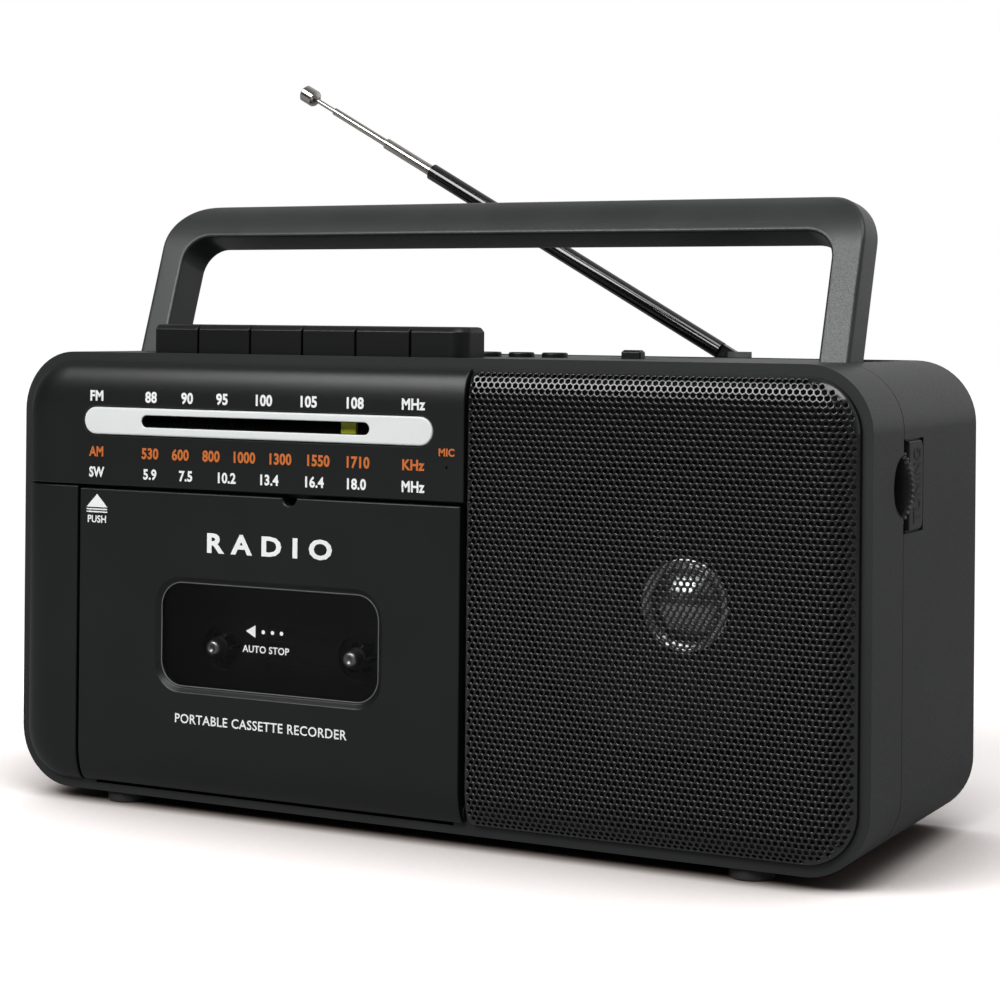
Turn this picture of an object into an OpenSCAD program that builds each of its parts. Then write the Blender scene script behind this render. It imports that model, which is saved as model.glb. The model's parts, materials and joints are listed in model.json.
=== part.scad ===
// Portable radio and cassette recorder, built as an assembly of separate pieces.
// Millimetres, +Z up. The origin is on the table under the middle of the object.
// Inside the modules, depth (Y) is counted from the front panel's plane and height (Z)
// from the case's underside; place() moves that case frame onto the origin.

/* [Case] */
// Width of the case
body_w = 242; // [238:0.5:246]
// Height of the case without its feet
body_h = 118; // [117:0.25:120]
// Depth of the case, from the front panel to the back wall
body_d = 88; // [88:0.5:92]
// Radius of the case's long edges
corner_r = 16; // [13:0.5:18]
// Wall of the two shells
wall = 2.2; // [1.8:0.1:2.4]
// Depth at which the front shell ends and the rear shell starts
seam_y = 27.2; // [27:0.1:27.4]
// Height of the rubber feet
foot_h = 3; // [2.5:0.25:5]

/* [Front] */
// How far the panels stand in front of the front shell
panel_d = 4.5; // [4.3:0.1:4.8]
// Thickness of the moulded panels
panel_t = 2.5; // [2:0.1:2.6]
// Outer diameter of the loudspeaker
speaker_d = 86; // [80:1:86]

/* [Handle] */
// Angle at which the handle leans back at rest
handle_lean = 19.1; // [12:0.1:22]
// Width of a leg and of the corner between the legs
handle_leg_w = 8; // [7:0.25:8.4]
// Thickness of the handle, front to back
handle_t = 12.2; // [11:0.2:12.4]
// Height of the grip bar
grip_h = 12; // [9:0.25:13]

/* [Controls] */
// Height of the piano keys over the top of the case
key_rise = 7.7; // [6:0.1:9]
// Diameter of the three round buttons
button_d = 6.8; // [6:0.1:7]
// Radius of the tuning and volume wheels
wheel_r = 15.5; // [14:0.25:15.5]
// How far the wheels stand out of the sides
wheel_out = 2; // [1:0.25:2.5]

/* [Antenna] */
// Angle of the antenna over the horizontal
antenna_tilt = 29.3; // [10:0.1:60]
// Outer diameter of the antenna's thickest tube
antenna_d = 4.8; // [4.4:0.1:5]

/* [Hidden] */
$fn = 48;
eps = 0.01;              // overshoot of a cut
run_gap = 0.05;          // radial clearance of a running fit

half_w = body_w / 2;
top_z = body_h;
inner_top = body_h - wall;
antenna_y = body_d + 4;  // depth of the antenna's own plane
lug_back = antenna_y + 3.8;
front_y = -lug_back / 2; // the case frame's Y = 0 in the object's frame

// Front panels
panel_in = 2.6;          // from the case's outline to the panels' outline
panel_r = corner_r - panel_in;
split_x = 18;            // between the cassette side and the grille
door_x0 = -99.4;
door_x1 = split_x - 0.6;
door_z0 = 3.1;
door_z1 = 82.1;
door_t = 2.6;
trim_gap = 0.4;
pivot_y = 5;             // cassette door's hinge line
pivot_z = 5.6;
pin_r = 1.1;
bay_x0 = -96;
bay_x1 = 13.5;
dial_z = 99.9;           // middle of the dial strip
dial_x0 = -97.9;
dial_x1 = 8.9;
dial_h = 8.4;
slot_x0 = -78.6;
slot_x1 = -9.4;
slot_h = 3;
pointer_x = -17;
ledge_z = 94.6;          // top of the ledge that the pointer runs on
mic = [13, 91];

// Cassette deck
deck_x = -42.3;          // middle of the cassette
hub_pitch = 42.5;        // between the two hubs of a compact cassette
hub_z = 39.6;
cassette_h = 63.8;
cassette_w = 100.4;
cassette_z0 = 10.2;
window_x0 = -72.7;
window_x1 = -6.4;
window_z0 = 30.7;
window_z1 = 58.1;
window_r = 6.5;
well_y = 16.4;           // front face of the well's back wall
plate_y = 20.6;          // front face of the steel chassis
plate_t = 1.2;
capstan_x = deck_x + 22;
capstan_z = 66.8;
capstan_r = 1;
motor_x = -78;
motor_z = capstan_z;
motor_r = 12.5;
belt_y = 25.6;
fly_r = 18;
pulley_r = 4;
belt_t = 1;

// Piano keys: edges from left to right, the first key being the narrow one
key_edges = [-81.5, -67.5, -51.1, -35, -18.9, -2.8, 12.8];
key_y0 = 9;
key_y1 = 20.6;
key_gap = 0.5;
key_foot = inner_top - 3.8;
key_pivot_y = 46;
key_pivot_z = top_z - 5;
key_shaft_r = 1.5;

// Round buttons and slide switches
button_x = [5.7, 15.3, 24.9];
button_y = 36;
button_rise = 1.3;
function_x = 47;
function_travel = 4;
board_z = 107.5;
board_t = 1.6;
band_y = 56;
band_z = 66;
band_travel = 4;

// Thumb wheels on the sides
wheel_y0 = seam_y + 0.4;
wheel_t = 3;
wheel_z = 89;
wheel_x = half_w + wheel_out - wheel_r;
wheel_slot = 11.2;       // half height of the wheel's slot and of its label plate
plate_y1 = 42.4;

// Handle
handle_w = 104.8;        // half of its outer width
handle_py = 36.2;
handle_pz = top_z - 4.4;
handle_pin_r = 1.6;
t_front = -3.24;         // front face from the pivot, square to the legs
t_back = t_front + handle_t;
s_top = 50.1;            // top of the bar from the pivot, along the legs
roll_r = 15.35;          // radius with which the front curves back to the top
roll_s = s_top - 14;     // where that curve starts
bar_back_r = 2.6;        // rounding of the bar's rear upper edge
leg_slot_x0 = handle_w - handle_leg_w - 0.5;
leg_slot_x1 = handle_w + 0.5;
recess_z = handle_pz - t_back - 0.5;
leg_slot_y0 = 32.3;
trough_y0 = handle_py + s_top - grip_h - 0.8;
trough_y1 = 87.1;
recess_wall = 1.5;

// Rear side
bay_half = 103;          // half length of the battery compartment
bay_y0 = 57;
bay_z0 = 5;
bay_z1 = 34;
bay_wall = 1.8;
lid_t = 2.1;
lid_r = lid_t / 2;
lid_z1 = 36;
screw_low = [112, 10];
screw_high = [90.5, 99.5];
screw_seat = 40;
inlet_x = 30;
inlet_z = 60;
jack_y = 60;
jack_z = 50;
jack_r = 1.75;

// Antenna
antenna_x = 53.8;
antenna_z = 116.6;
barrel_r = 3.3;
tube_1_end = 110.8;
tube_2_end = 128.5;
tube_3_end = 149.2;
tip_end = 161.7;
tube_2_d = 3.2;
tube_3_d = 2.2;
rod_d = 1.4;

speaker_x = 68.5;
speaker_z = 58.5;

// Moves the case frame onto the object's frame
module place() {
  translate([0, front_y, foot_h]) children();
}

// Rectangle with round corners
module rounded(x0, y0, x1, y1, r) {
  translate([x0 + r, y0]) square([x1 - x0 - 2 * r, y1 - y0]);
  translate([x0, y0 + r]) square([x1 - x0, y1 - y0 - 2 * r]);
  for (x = [x0 + r, x1 - r], y = [y0 + r, y1 - r]) translate([x, y]) circle(r, $fn = 64);
}

// Gives an outline drawn in X and Z its depth, from y0 to y1
module slab(y0, y1) {
  translate([0, y1, 0]) rotate([90, 0, 0]) linear_extrude(y1 - y0) children();
}

// Box from one corner to the other
module block(a, b) {
  translate(a) cube(b - a);
}

// Round bar along X, Y or Z, from one end to the other
module rod_x(y, z, x0, x1, r) {
  translate([x0, y, z]) rotate([0, 90, 0]) cylinder(h = x1 - x0, r = r);
}
module rod_y(x, z, y0, y1, r) {
  translate([x, y1, z]) rotate([90, 0, 0]) cylinder(h = y1 - y0, r = r);
}
module rod_z(x, y, z0, z1, r) {
  translate([x, y, z0]) cylinder(h = z1 - z0, r = r);
}

// Turns an outline of radius and depth about a line along Y
module spun(x, z) {
  translate([x, 0, z]) rotate([-90, 0, 0]) rotate_extrude() children();
}

// Outline of the case, drawn in by a margin
module case_outline(margin) {
  rounded(-half_w + margin, margin, half_w - margin, body_h - margin, corner_r - margin);
}

// Outline of all front panels together
module panel_outline() {
  rounded(-half_w + panel_in, panel_in, half_w - panel_in, body_h - panel_in, panel_r);
}

// Part of the panels' outline between two corners
module panel_part(x0, z0, x1, z1) {
  intersection() {
    panel_outline();
    translate([x0, z0]) square([x1 - x0, z1 - z0]);
  }
}

// Slot with round ends
module pill(x0, x1, z, h) {
  translate([x0 + h / 2, z - h / 2]) square([x1 - x0 - h, h]);
  for (x = [x0 + h / 2, x1 - h / 2]) translate([x, z]) circle(h / 2, $fn = 64);
}

// ---- Shells -------------------------------------------------------------

module front_shell() {
  place() color([0.16, 0.17, 0.17]) difference() {
    union() {
      difference() {
        slab(panel_d, seam_y) case_outline(0);
        slab(panel_d + wall, seam_y + eps) case_outline(wall);
      }
      // hinge bosses of the cassette door
      rod_x(pivot_y, pivot_z, door_x0 + 0.3, bay_x0 - 0.3, pin_r + 1);
      rod_x(pivot_y, pivot_z, bay_x1 + 0.3, door_x1 - 0.3, pin_r + 1);
      // ledge that the dial pointer runs on
      block([slot_x0 - 6, panel_d + 1, ledge_z - 1.4], [slot_x1 + 6, 11, ledge_z]);
      // posts for the case screws
      for (x = [-1, 1], p = [screw_low, screw_high])
        rod_y(x * p[0], p[1], panel_d + 1, seam_y, 3);
    }
    slab(panel_d - eps, panel_d + wall + eps) {
      translate([bay_x0, door_z0 - 1]) square([bay_x1 - bay_x0, door_z1 - door_z0]);
      translate([speaker_x, speaker_z]) circle(speaker_d / 2 - 6);
      pill(slot_x0 - 2, slot_x1 + 2, dial_z, 8);
      translate(mic) circle(1);
    }
    // opening for the piano keys
    block([key_edges[0] - 0.3, key_y0 - 1.4, inner_top - eps],
          [key_edges[6] + 0.3, key_y1 + 0.5, top_z + eps]);
    // finger scoops in front of the two wheels
    for (s = [-1, 1]) translate([s * (half_w + 8), seam_y, wheel_z]) sphere(11);
    // bores of the hinge pins and of the screws
    rod_x(pivot_y, pivot_z, door_x0, bay_x0, pin_r);
    rod_x(pivot_y, pivot_z, bay_x1, door_x1, pin_r);
    for (x = [-1, 1], p = [screw_low, screw_high])
      rod_y(x * p[0], p[1], seam_y - 12, seam_y + eps, 1.1);
  }
}

// Space that the folded handle needs, grown by a margin
module handle_recess(m) {
  translate([0, 0, recess_z - m]) linear_extrude(top_z - recess_z + m + eps) difference() {
    translate([-leg_slot_x1 - m, leg_slot_y0 - m])
      square([2 * (leg_slot_x1 + m), trough_y1 - leg_slot_y0 + 2 * m]);
    rounded(-leg_slot_x0 + m, 0, leg_slot_x0 - m, trough_y0 - m, 7 - m);
  }
}

module rear_shell() {
  place() color([0.17, 0.18, 0.18]) difference() {
    union() {
      difference() {
        slab(seam_y, body_d) case_outline(0);
        slab(seam_y - eps, body_d - wall) case_outline(wall);
      }
      // walls of the recess that the handle folds into
      intersection() {
        handle_recess(recess_wall);
        slab(seam_y, body_d) case_outline(0);
      }
      // battery compartment
      block([-bay_half - bay_wall, bay_y0 - bay_wall, wall - eps],
            [bay_half + bay_wall, body_d - wall + eps, bay_z1 + bay_wall]);
      // screw tubes
      for (x = [-1, 1], p = [screw_low, screw_high])
        rod_y(x * p[0], p[1], seam_y, body_d - wall + eps, 4.2);
      // lug for the antenna's swivel
      block([antenna_x - 5, body_d - wall, 98], [antenna_x + 5, lug_back, 111]);
    }
    handle_recess(0);
    // holes of the handle's pivot pins
    for (s = [-1, 1])
      rod_x(handle_py, handle_pz, s > 0 ? leg_slot_x0 - recess_wall - eps : -leg_slot_x1 - recess_wall,
            s > 0 ? leg_slot_x1 + recess_wall : -leg_slot_x0 + recess_wall + eps, handle_pin_r);
    // battery compartment and its lid
    block([-bay_half, bay_y0, bay_z0], [bay_half, body_d + eps, bay_z1]);
    block([-bay_half - 0.3, body_d - lid_t - 0.3, bay_z0 - 0.1],
          [bay_half + 0.3, body_d + eps, lid_z1 + 0.3]);
    // slots of the two wheels and shallow seats of their label plates
    for (x = [-half_w - eps, half_w - wall - eps])
      block([x, seam_y - eps, wheel_z - wheel_slot],
            [x + wall + 2 * eps, wheel_y0 + wheel_t + 0.4, wheel_z + wheel_slot]);
    for (x = [-half_w - eps, half_w - 0.8])
      block([x, seam_y + 1, wheel_z - wheel_slot], [x + 0.8 + eps, plate_y1, wheel_z + wheel_slot]);
    // round buttons and function switch in the top
    for (x = button_x) rod_z(x, button_y, inner_top - eps, top_z + eps, button_d / 2 + 0.2);
    block([function_x - function_travel - 3, button_y - 2, inner_top - eps],
          [function_x + function_travel + 3, button_y + 2, top_z + eps]);
    // band switch and headphone jack in the left side
    block([-half_w - eps, band_y - band_travel - 3, band_z - 2],
          [-half_w + wall + eps, band_y + band_travel + 3, band_z + 2]);
    rod_x(jack_y, jack_z, -half_w - eps, -half_w + wall + eps, 4);
    // mains inlet in the back
    slab(body_d - wall - eps, body_d + eps) inlet_outline(0.1);
    // screw seats and clearance holes
    for (x = [-1, 1], p = [screw_low, screw_high]) {
      rod_y(x * p[0], p[1], screw_seat, body_d + eps, 2.8);
      rod_y(x * p[0], p[1], seam_y - eps, screw_seat + eps, 1.6);
    }
    rod_z(antenna_x, antenna_y, 98 - eps, 111 + eps, barrel_r + run_gap);
  }
}

module feet() {
  place() color([0.05, 0.05, 0.05]) for (x = [-90, 90], y = [11, 76])
    rod_z(x, y, -foot_h, 0, 5.5);
}

module case_screws() {
  place() color([0.6, 0.6, 0.6]) for (x = [-1, 1], p = [screw_low, screw_high]) difference() {
    union() {
      rod_y(x * p[0], p[1], screw_seat - 13, screw_seat, 1.1);
      rod_y(x * p[0], p[1], screw_seat, screw_seat + 1.8, 2.5);
    }
    for (a = [0, 90]) translate([x * p[0], screw_seat + 1.8, p[1]]) rotate([0, a, 0])
      cube([0.6, 1.6, 3], center = true);
  }
}

// Steel pins of the handle (thick) and of the cassette door (thin)
module hinge_pins() {
  place() color([0.7, 0.7, 0.7]) {
    for (s = [-1, 1])
      rod_x(handle_py, handle_pz, s > 0 ? leg_slot_x0 - recess_wall : -leg_slot_x1 - recess_wall + 0.3,
            s > 0 ? leg_slot_x1 + recess_wall - 0.3 : -leg_slot_x0 + recess_wall, handle_pin_r);
    rod_x(pivot_y, pivot_z, door_x0 + 0.3, bay_x0 + 2.6, pin_r);
    rod_x(pivot_y, pivot_z, bay_x1 - 2.6, door_x1 - 0.3, pin_r);
  }
}

// ---- Front panels -------------------------------------------------------

module side_trim() {
  place() color([0.14, 0.15, 0.15])
    slab(0, panel_d) panel_part(-half_w, 0, door_x0 - trim_gap, door_z1);
}

module dial_panel() {
  place() color([0.12, 0.13, 0.13]) difference() {
    slab(0, panel_d) panel_part(-half_w, door_z1 + trim_gap, split_x - trim_gap / 2, body_h);
    slab(panel_t, panel_d + eps)
      rounded(-110, door_z1 + 3, split_x - 3, body_h - panel_in - 2, 3);
    slab(-eps, 1.2) pill(dial_x0 - 0.1, dial_x1 + 0.1, dial_z, dial_h + 0.2);
    slab(-eps, panel_d) pill(slot_x0 - 1, slot_x1 + 1, dial_z, slot_h + 2);
    rod_y(mic[0], mic[1], -eps, panel_d, 0.35);
  }
}

module dial_window() {
  place() color([0.86, 0.87, 0.87]) difference() {
    slab(0, 1.2) pill(dial_x0, dial_x1, dial_z, dial_h);
    slab(-eps, 1.2 + eps) pill(slot_x0, slot_x1, dial_z, slot_h);
  }
}

module dial_lens() {
  place() color([0.1, 0.1, 0.1, 0.5])
    slab(panel_t, panel_t + 0.8) pill(slot_x0 - 3, slot_x1 + 3, dial_z, slot_h + 4);
}

module dial_pointer() {
  place() color([0.65, 0.7, 0.25]) {
    block([pointer_x - 1.9, panel_t + 1.2, dial_z - 2], [pointer_x + 1.9, panel_d + wall + 1, dial_z + 2]);
    block([pointer_x - 5, panel_d + wall + 0.5, ledge_z + 0.3],
          [pointer_x + 5, panel_d + wall + 2.5, dial_z + 3]);
  }
}

// Pressed sheet with a rim turned back all round
module speaker_grille() {
  place() color([0.07, 0.07, 0.07]) difference() {
    slab(0, panel_d) grille_outline(0);
    slab(0.8, panel_d + eps) grille_outline(0.8);
  }
}

module grille_outline(margin) {
  intersection() {
    rounded(-half_w, panel_in + margin, half_w - panel_in - margin, body_h - panel_in - margin,
            panel_r - margin);
    translate([split_x + trim_gap / 2 + margin, 0]) square([half_w, body_h]);
  }
}

// ---- Loudspeaker --------------------------------------------------------

module speaker_frame() {
  place() color([0.3, 0.3, 0.3]) difference() {
    spun(speaker_x, speaker_z) polygon([
      [speaker_d / 2 - 6.5, panel_d + wall + 0.2], [speaker_d / 2, panel_d + wall + 0.2],
      [speaker_d / 2, panel_d + wall + 1.6], [speaker_d / 2 - 5.5, panel_d + wall + 1.6],
      [24, 26.2], [24, 27.4], [7.2, 27.4], [7.2, 26.2], [22.6, 26.2],
      [speaker_d / 2 - 6.5, panel_d + wall + 2]]);
    for (a = [45 : 90 : 315]) translate([speaker_x, 20, speaker_z]) rotate([0, a, 0])
      translate([31, 0, 0]) rotate([90, 0, 0]) cylinder(h = 8, r = 6, center = true);
  }
}

module speaker_magnet() {
  place() color([0.2, 0.2, 0.22]) {
    rod_y(speaker_x, speaker_z, 27.4, 29.4, 22);
    rod_y(speaker_x, speaker_z, 29.4, 37.4, 25);
    rod_y(speaker_x, speaker_z, 37.4, 39.4, 22);
    rod_y(speaker_x, speaker_z, 22.4, 27.4, 6.6);
  }
}

module speaker_cone() {
  place() color([0.08, 0.08, 0.08]) spun(speaker_x, speaker_z) polygon([
    [speaker_d / 2 - 7, 9.3], [speaker_d / 2 - 9.5, 7.6], [speaker_d / 2 - 12, 9.6],
    [11.2, 21.4], [8, 21.4], [8, 24.8], [7.3, 24.8], [7.3, 20.8], [11, 20.8],
    [speaker_d / 2 - 12.2, 8.9], [speaker_d / 2 - 9.5, 6.9], [speaker_d / 2 - 6.7, 8.8]]);
}

module speaker_dust_cap() {
  cap_r = 10.4;
  ball_r = 13.5;
  centre = 20.7 + sqrt(ball_r * ball_r - cap_r * cap_r);
  place() color([0.8, 0.8, 0.82]) intersection() {
    translate([speaker_x, centre, speaker_z]) difference() {
      sphere(ball_r, $fn = 96);
      sphere(ball_r - 0.5, $fn = 96);
    }
    rod_y(speaker_x, speaker_z, 10, 20.7, cap_r);
  }
}

// ---- Cassette door ------------------------------------------------------

module cassette_door() {
  place() color([0.13, 0.14, 0.14]) difference() {
    union() {
      block([door_x0, 0, door_z0], [door_x1, door_t, door_z1]);
      for (x = [bay_x0 + 0.2, bay_x1 - 2.7]) {
        rod_x(pivot_y, pivot_z, x, x + 2.5, 2.2);
        block([x, door_t - eps, pivot_z - 2.2], [x + 2.5, pivot_y, pivot_z + 2.2]);
      }
      // latch hook
      block([door_x0 + 5, door_t - eps, 75], [door_x0 + 8.4, 6.4, 77]);
    }
    slab(-eps, 2.7) rounded(window_x0, window_z0, window_x1, window_z1, window_r);
    // thumb notch in the top edge
    rod_y(-32.7, door_z1, -eps, 1.2, 1.4);
    for (x = [bay_x0 + 0.2, bay_x1 - 2.7])
      rod_x(pivot_y, pivot_z, x - eps, x + 2.5 + eps, pin_r + run_gap);
  }
}

module door_window() {
  place() color([0.2, 0.2, 0.2, 0.4])
    slab(1.2, 2.4) rounded(window_x0 + 0.05, window_z0 + 0.05, window_x1 - 0.05, window_z1 - 0.05,
                           window_r - 0.05);
}

// Two side channels and a shelf that carry the cassette on the door
module cassette_holder() {
  x0 = deck_x - cassette_w / 2 - 0.4;
  x1 = deck_x + cassette_w / 2 + 0.4;
  shelf_z = cassette_z0 - 1.8;
  guide_z = cassette_z0 + cassette_h - 10;
  place() color([0.1, 0.1, 0.1]) {
    block([x0 - 1.5, door_t, shelf_z], [x0, 16, guide_z]);
    block([x1, door_t, shelf_z], [x1 + 1.5, 16, guide_z]);
    block([x0 - eps, 14.8, cassette_z0 + 2], [x0 + 3, 16, guide_z]);
    block([x1 - 3, 14.8, cassette_z0 + 2], [x1 + eps, 16, guide_z]);
    block([x0 - 1.5, door_t, shelf_z], [x1 + 1.5, 13.4, shelf_z + 1.2]);
  }
}

module cassette_well() {
  place() color([0.09, 0.09, 0.1]) difference() {
    block([bay_x0 - 1.2, panel_d + wall + 0.5, 4.4], [bay_x1 + 1.2, well_y + 1.2, 82.2]);
    block([bay_x0, panel_d, 5.6], [bay_x1, well_y, 81]);
    // relief behind the hinge line
    block([bay_x0, panel_d, 3], [bay_x1, 9.4, 6]);
    for (s = [-1, 1])
      rod_y(deck_x + s * hub_pitch / 2, hub_z, well_y - 1, well_y + 2, 6.4);
    rod_y(capstan_x, capstan_z, well_y - 1, well_y + 2, 2);
    // window for the heads, open at the top
    block([deck_x - 28, panel_d, 71.6], [deck_x + 32, well_y + 2, 83]);
    // moulded ribs between the hubs
    for (z = [34 : 1.6 : 46]) block([deck_x - 7, well_y - eps, z], [deck_x + 12, well_y + 0.5, z + 0.7]);
  }
}

// ---- Tape mechanism -----------------------------------------------------

module deck_chassis() {
  place() color([0.7, 0.71, 0.72]) difference() {
    union() {
      block([-93, plate_y, 8], [15.6, plate_y + plate_t, 88]);
      for (x = [-91, 11], z = [10, 84]) rod_y(x, z, well_y + 1.2, plate_y, 2);
      // cheeks that carry the key shaft
      for (x = [-84, 14]) {
        block([x, plate_y, 80], [x + 1.6, 49, 104]);
        block([x, 43, 80], [x + 1.6, 49, inner_top - 0.4]);
      }
      // posts that carry the motor
      for (a = [90, 180, 270]) translate([motor_x, 0, motor_z]) rotate([0, a, 0])
        rod_y(9, 0, plate_y + plate_t, 29.5, 1.5);
    }
    for (s = [-1, 1])
      rod_y(deck_x + s * hub_pitch / 2, hub_z, plate_y - eps, plate_y + 2, 1.5 + run_gap);
    rod_y(capstan_x, capstan_z, plate_y - eps, plate_y + 2, capstan_r + run_gap);
    for (x = [-85, 13]) rod_x(key_pivot_y, key_pivot_z, x, x + 4, key_shaft_r);
  }
}

// Spindle: reel table, drive shaft with six splines and a rounded nose
module spindle(x) {
  place() color([0.85, 0.85, 0.83]) {
    spun(x, hub_z) polygon([[0, 25.4], [1.5, 25.4], [1.5, 20.2], [11, 20.2], [11, 18.2], [3, 18.2],
                            [3, 13], [2.4, 11.6], [1.4, 11], [0, 11]]);
    for (a = [0 : 60 : 300]) translate([x, 0, hub_z]) rotate([0, a, 0])
      block([2.6, 13.2, -0.45], [4.3, 18.3, 0.45]);
  }
}

module supply_spindle() { spindle(deck_x - hub_pitch / 2); }
module takeup_spindle() { spindle(deck_x + hub_pitch / 2); }

module capstan_flywheel() {
  place() color([0.75, 0.7, 0.55]) {
    rod_y(capstan_x, capstan_z, 6.4, 23, capstan_r);
    spun(capstan_x, capstan_z) polygon([[0, 22.6], [fly_r + 1, 22.6], [fly_r + 1, 24.4],
      [fly_r, 25], [fly_r, 26.2], [fly_r + 1, 26.8], [fly_r + 1, 27.6], [0, 27.6]]);
  }
}

module motor() {
  place() color([0.72, 0.73, 0.74]) {
    rod_y(motor_x, motor_z, 29.5, 50, motor_r);
    rod_y(motor_x, motor_z, 28, 29.6, 3.5);
    rod_y(motor_x, motor_z, 23.6, 28.1, 0.95);
  }
}

module motor_pulley() {
  place() color([0.8, 0.68, 0.3]) spun(motor_x, motor_z) polygon([[0.95 + run_gap, 24], [pulley_r + 1, 24],
    [pulley_r + 1, 24.6], [pulley_r, 25.1], [pulley_r, 26.1], [pulley_r + 1, 26.6],
    [pulley_r + 1, 27.2], [0.95 + run_gap, 27.2]]);
}

module drive_belt() {
  place() color([0.04, 0.04, 0.04]) slab(belt_y - 0.4, belt_y + 0.4) difference() {
    belt_outline(belt_t + 0.15);
    belt_outline(0.15);
  }
}

module belt_outline(grow) {
  hull() {
    translate([capstan_x, capstan_z]) circle(fly_r + grow, $fn = 64);
    translate([motor_x, motor_z]) circle(pulley_r + grow, $fn = 32);
  }
}

// Sliding plate with the play head, the erase head and the pinch roller
module head_bridge() {
  place() color([0.66, 0.67, 0.68]) {
    block([deck_x - 26, 18.2, 76], [deck_x + 30, 19.2, 96]);
    block([deck_x - 6, 7.3, 76.5], [deck_x + 6, 14.6, 86]);
    block([deck_x - 6, 14.4, 84.4], [deck_x + 6, 18.4, 86]);
    block([deck_x - 22, 7.6, 77], [deck_x - 14, 13.6, 84.6]);
    block([deck_x - 22, 13.4, 83], [deck_x - 14, 18.4, 84.6]);
    rod_y(capstan_x, capstan_z + 14, 7.3, 14.6, 5);
    rod_y(capstan_x, capstan_z + 14, 14.4, 18.4, 1.2);
  }
}

module key_shaft() {
  place() color([0.72, 0.72, 0.72]) rod_x(key_pivot_y, key_pivot_z, -85, 16.6, key_shaft_r);
}

// One coil beside each key's arm
module key_springs() {
  place() color([0.6, 0.6, 0.62]) for (i = [0 : 5])
    translate([key_edges[i] + 8, key_pivot_y, key_pivot_z]) rotate([0, 90, 0]) rotate_extrude()
      for (k = [0 : 4]) translate([key_shaft_r + 0.5, k * 0.62]) circle(0.33, $fn = 16);
}

// Piano key number i: cap, arm to the rear and the eye on the shaft
module piano_key(i) {
  x0 = key_edges[i] + key_gap / 2;
  x1 = key_edges[i + 1] - key_gap / 2;
  place() color([0.1, 0.1, 0.1]) difference() {
    union() {
      block([x0, key_y0, key_foot], [x1, key_y1, top_z + key_rise]);
      block([x0 + 0.1, key_y0 + 5, key_foot - 2.2], [x0 + 3.9, key_pivot_y, key_foot + 1]);
      rod_x(key_pivot_y, key_pivot_z, x0 + 0.1, x0 + 3.9, 2.5);
    }
    rod_x(key_pivot_y, key_pivot_z, x0, x0 + 5, key_shaft_r + run_gap);
  }
}

module key_pause() { piano_key(0); }
module key_stop() { piano_key(1); }
module key_forward() { piano_key(2); }
module key_rewind() { piano_key(3); }
module key_play() { piano_key(4); }
module key_record() { piano_key(5); }

// ---- Buttons and switches -----------------------------------------------

module round_button(i) {
  place() color([0.1, 0.1, 0.1]) {
    rod_z(button_x[i], button_y, 113.4, top_z + button_rise, button_d / 2);
    rod_z(button_x[i], button_y, 112.2, 113.5, button_d / 2 + 0.5);
  }
}

module button_previous() { round_button(0); }
module button_play() { round_button(1); }
module button_next() { round_button(2); }

module function_knob() {
  place() color([0.15, 0.15, 0.15]) {
    block([function_x - 2.7, button_y - 1.7, 113.2], [function_x + 2.7, button_y + 1.7, top_z + 2]);
  }
}

// Small circuit board with three push switches and the function switch
module switch_board() {
  place() color([0.35, 0.28, 0.12]) {
    block([2.6, button_y - 5, board_z], [60, button_y + 5, board_z + board_t]);
    for (x = button_x) {
      block([x - 3, button_y - 3, board_z + board_t], [x + 3, button_y + 3, board_z + board_t + 1.4]);
    }
    block([function_x - 9, button_y - 3.4, board_z + board_t], [function_x + 9, button_y + 3.4,
          board_z + board_t + 3.6]);
  }
}

module band_knob() {
  place() color([0.15, 0.15, 0.15])
    block([-half_w - 1.6, band_y - 2.6, band_z - 1.7], [-half_w + 5, band_y + 2.6, band_z + 1.7]);
}

// Knurled thumb wheel with its hub, on one side (s = 1 right, s = -1 left)
module thumb_wheel(s) {
  place() color([0.08, 0.08, 0.08]) difference() {
    union() {
      rod_y(s * wheel_x, wheel_z, wheel_y0, wheel_y0 + wheel_t, wheel_r);
      rod_y(s * wheel_x, wheel_z, wheel_y0, wheel_y0 + 6, 4.5);
    }
    for (a = [0 : 9 : 351]) translate([s * wheel_x, 0, wheel_z]) rotate([0, a, 0])
      rod_y(wheel_r + 0.25, 0, wheel_y0 - eps, wheel_y0 + wheel_t + eps, 0.55);
    rod_y(s * wheel_x, wheel_z, wheel_y0 + 2, wheel_y0 + 6 + eps, 2.5 + run_gap);
  }
}

module tuning_wheel() { thumb_wheel(1); }
module volume_wheel() { thumb_wheel(-1); }

// Body behind a thumb wheel with the shaft that the wheel turns on
module wheel_mount(s, half, depth) {
  rod_y(s * wheel_x, wheel_z, wheel_y0 + 2.3, wheel_y0 + 8, 2.5);
  block([s * wheel_x - half, wheel_y0 + 7, wheel_z - half], [s * wheel_x + half, wheel_y0 + 7 + depth,
        wheel_z + half]);
}

module tuning_capacitor() {
  place() color([0.85, 0.85, 0.8]) wheel_mount(1, 10, 12);
}

module volume_pot() {
  place() color([0.55, 0.5, 0.4]) wheel_mount(-1, 8, 7);
}

// Label plates behind the wheels
module wheel_plates() {
  place() color([0.19, 0.2, 0.2]) for (x = [-half_w - 0.2, half_w - 0.8])
    block([x, wheel_y0 + wheel_t + 0.5, wheel_z - wheel_slot + 0.1],
          [x + 1, plate_y1 - 0.1, wheel_z + wheel_slot - 0.1]);
}

// ---- Electronics --------------------------------------------------------

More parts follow.
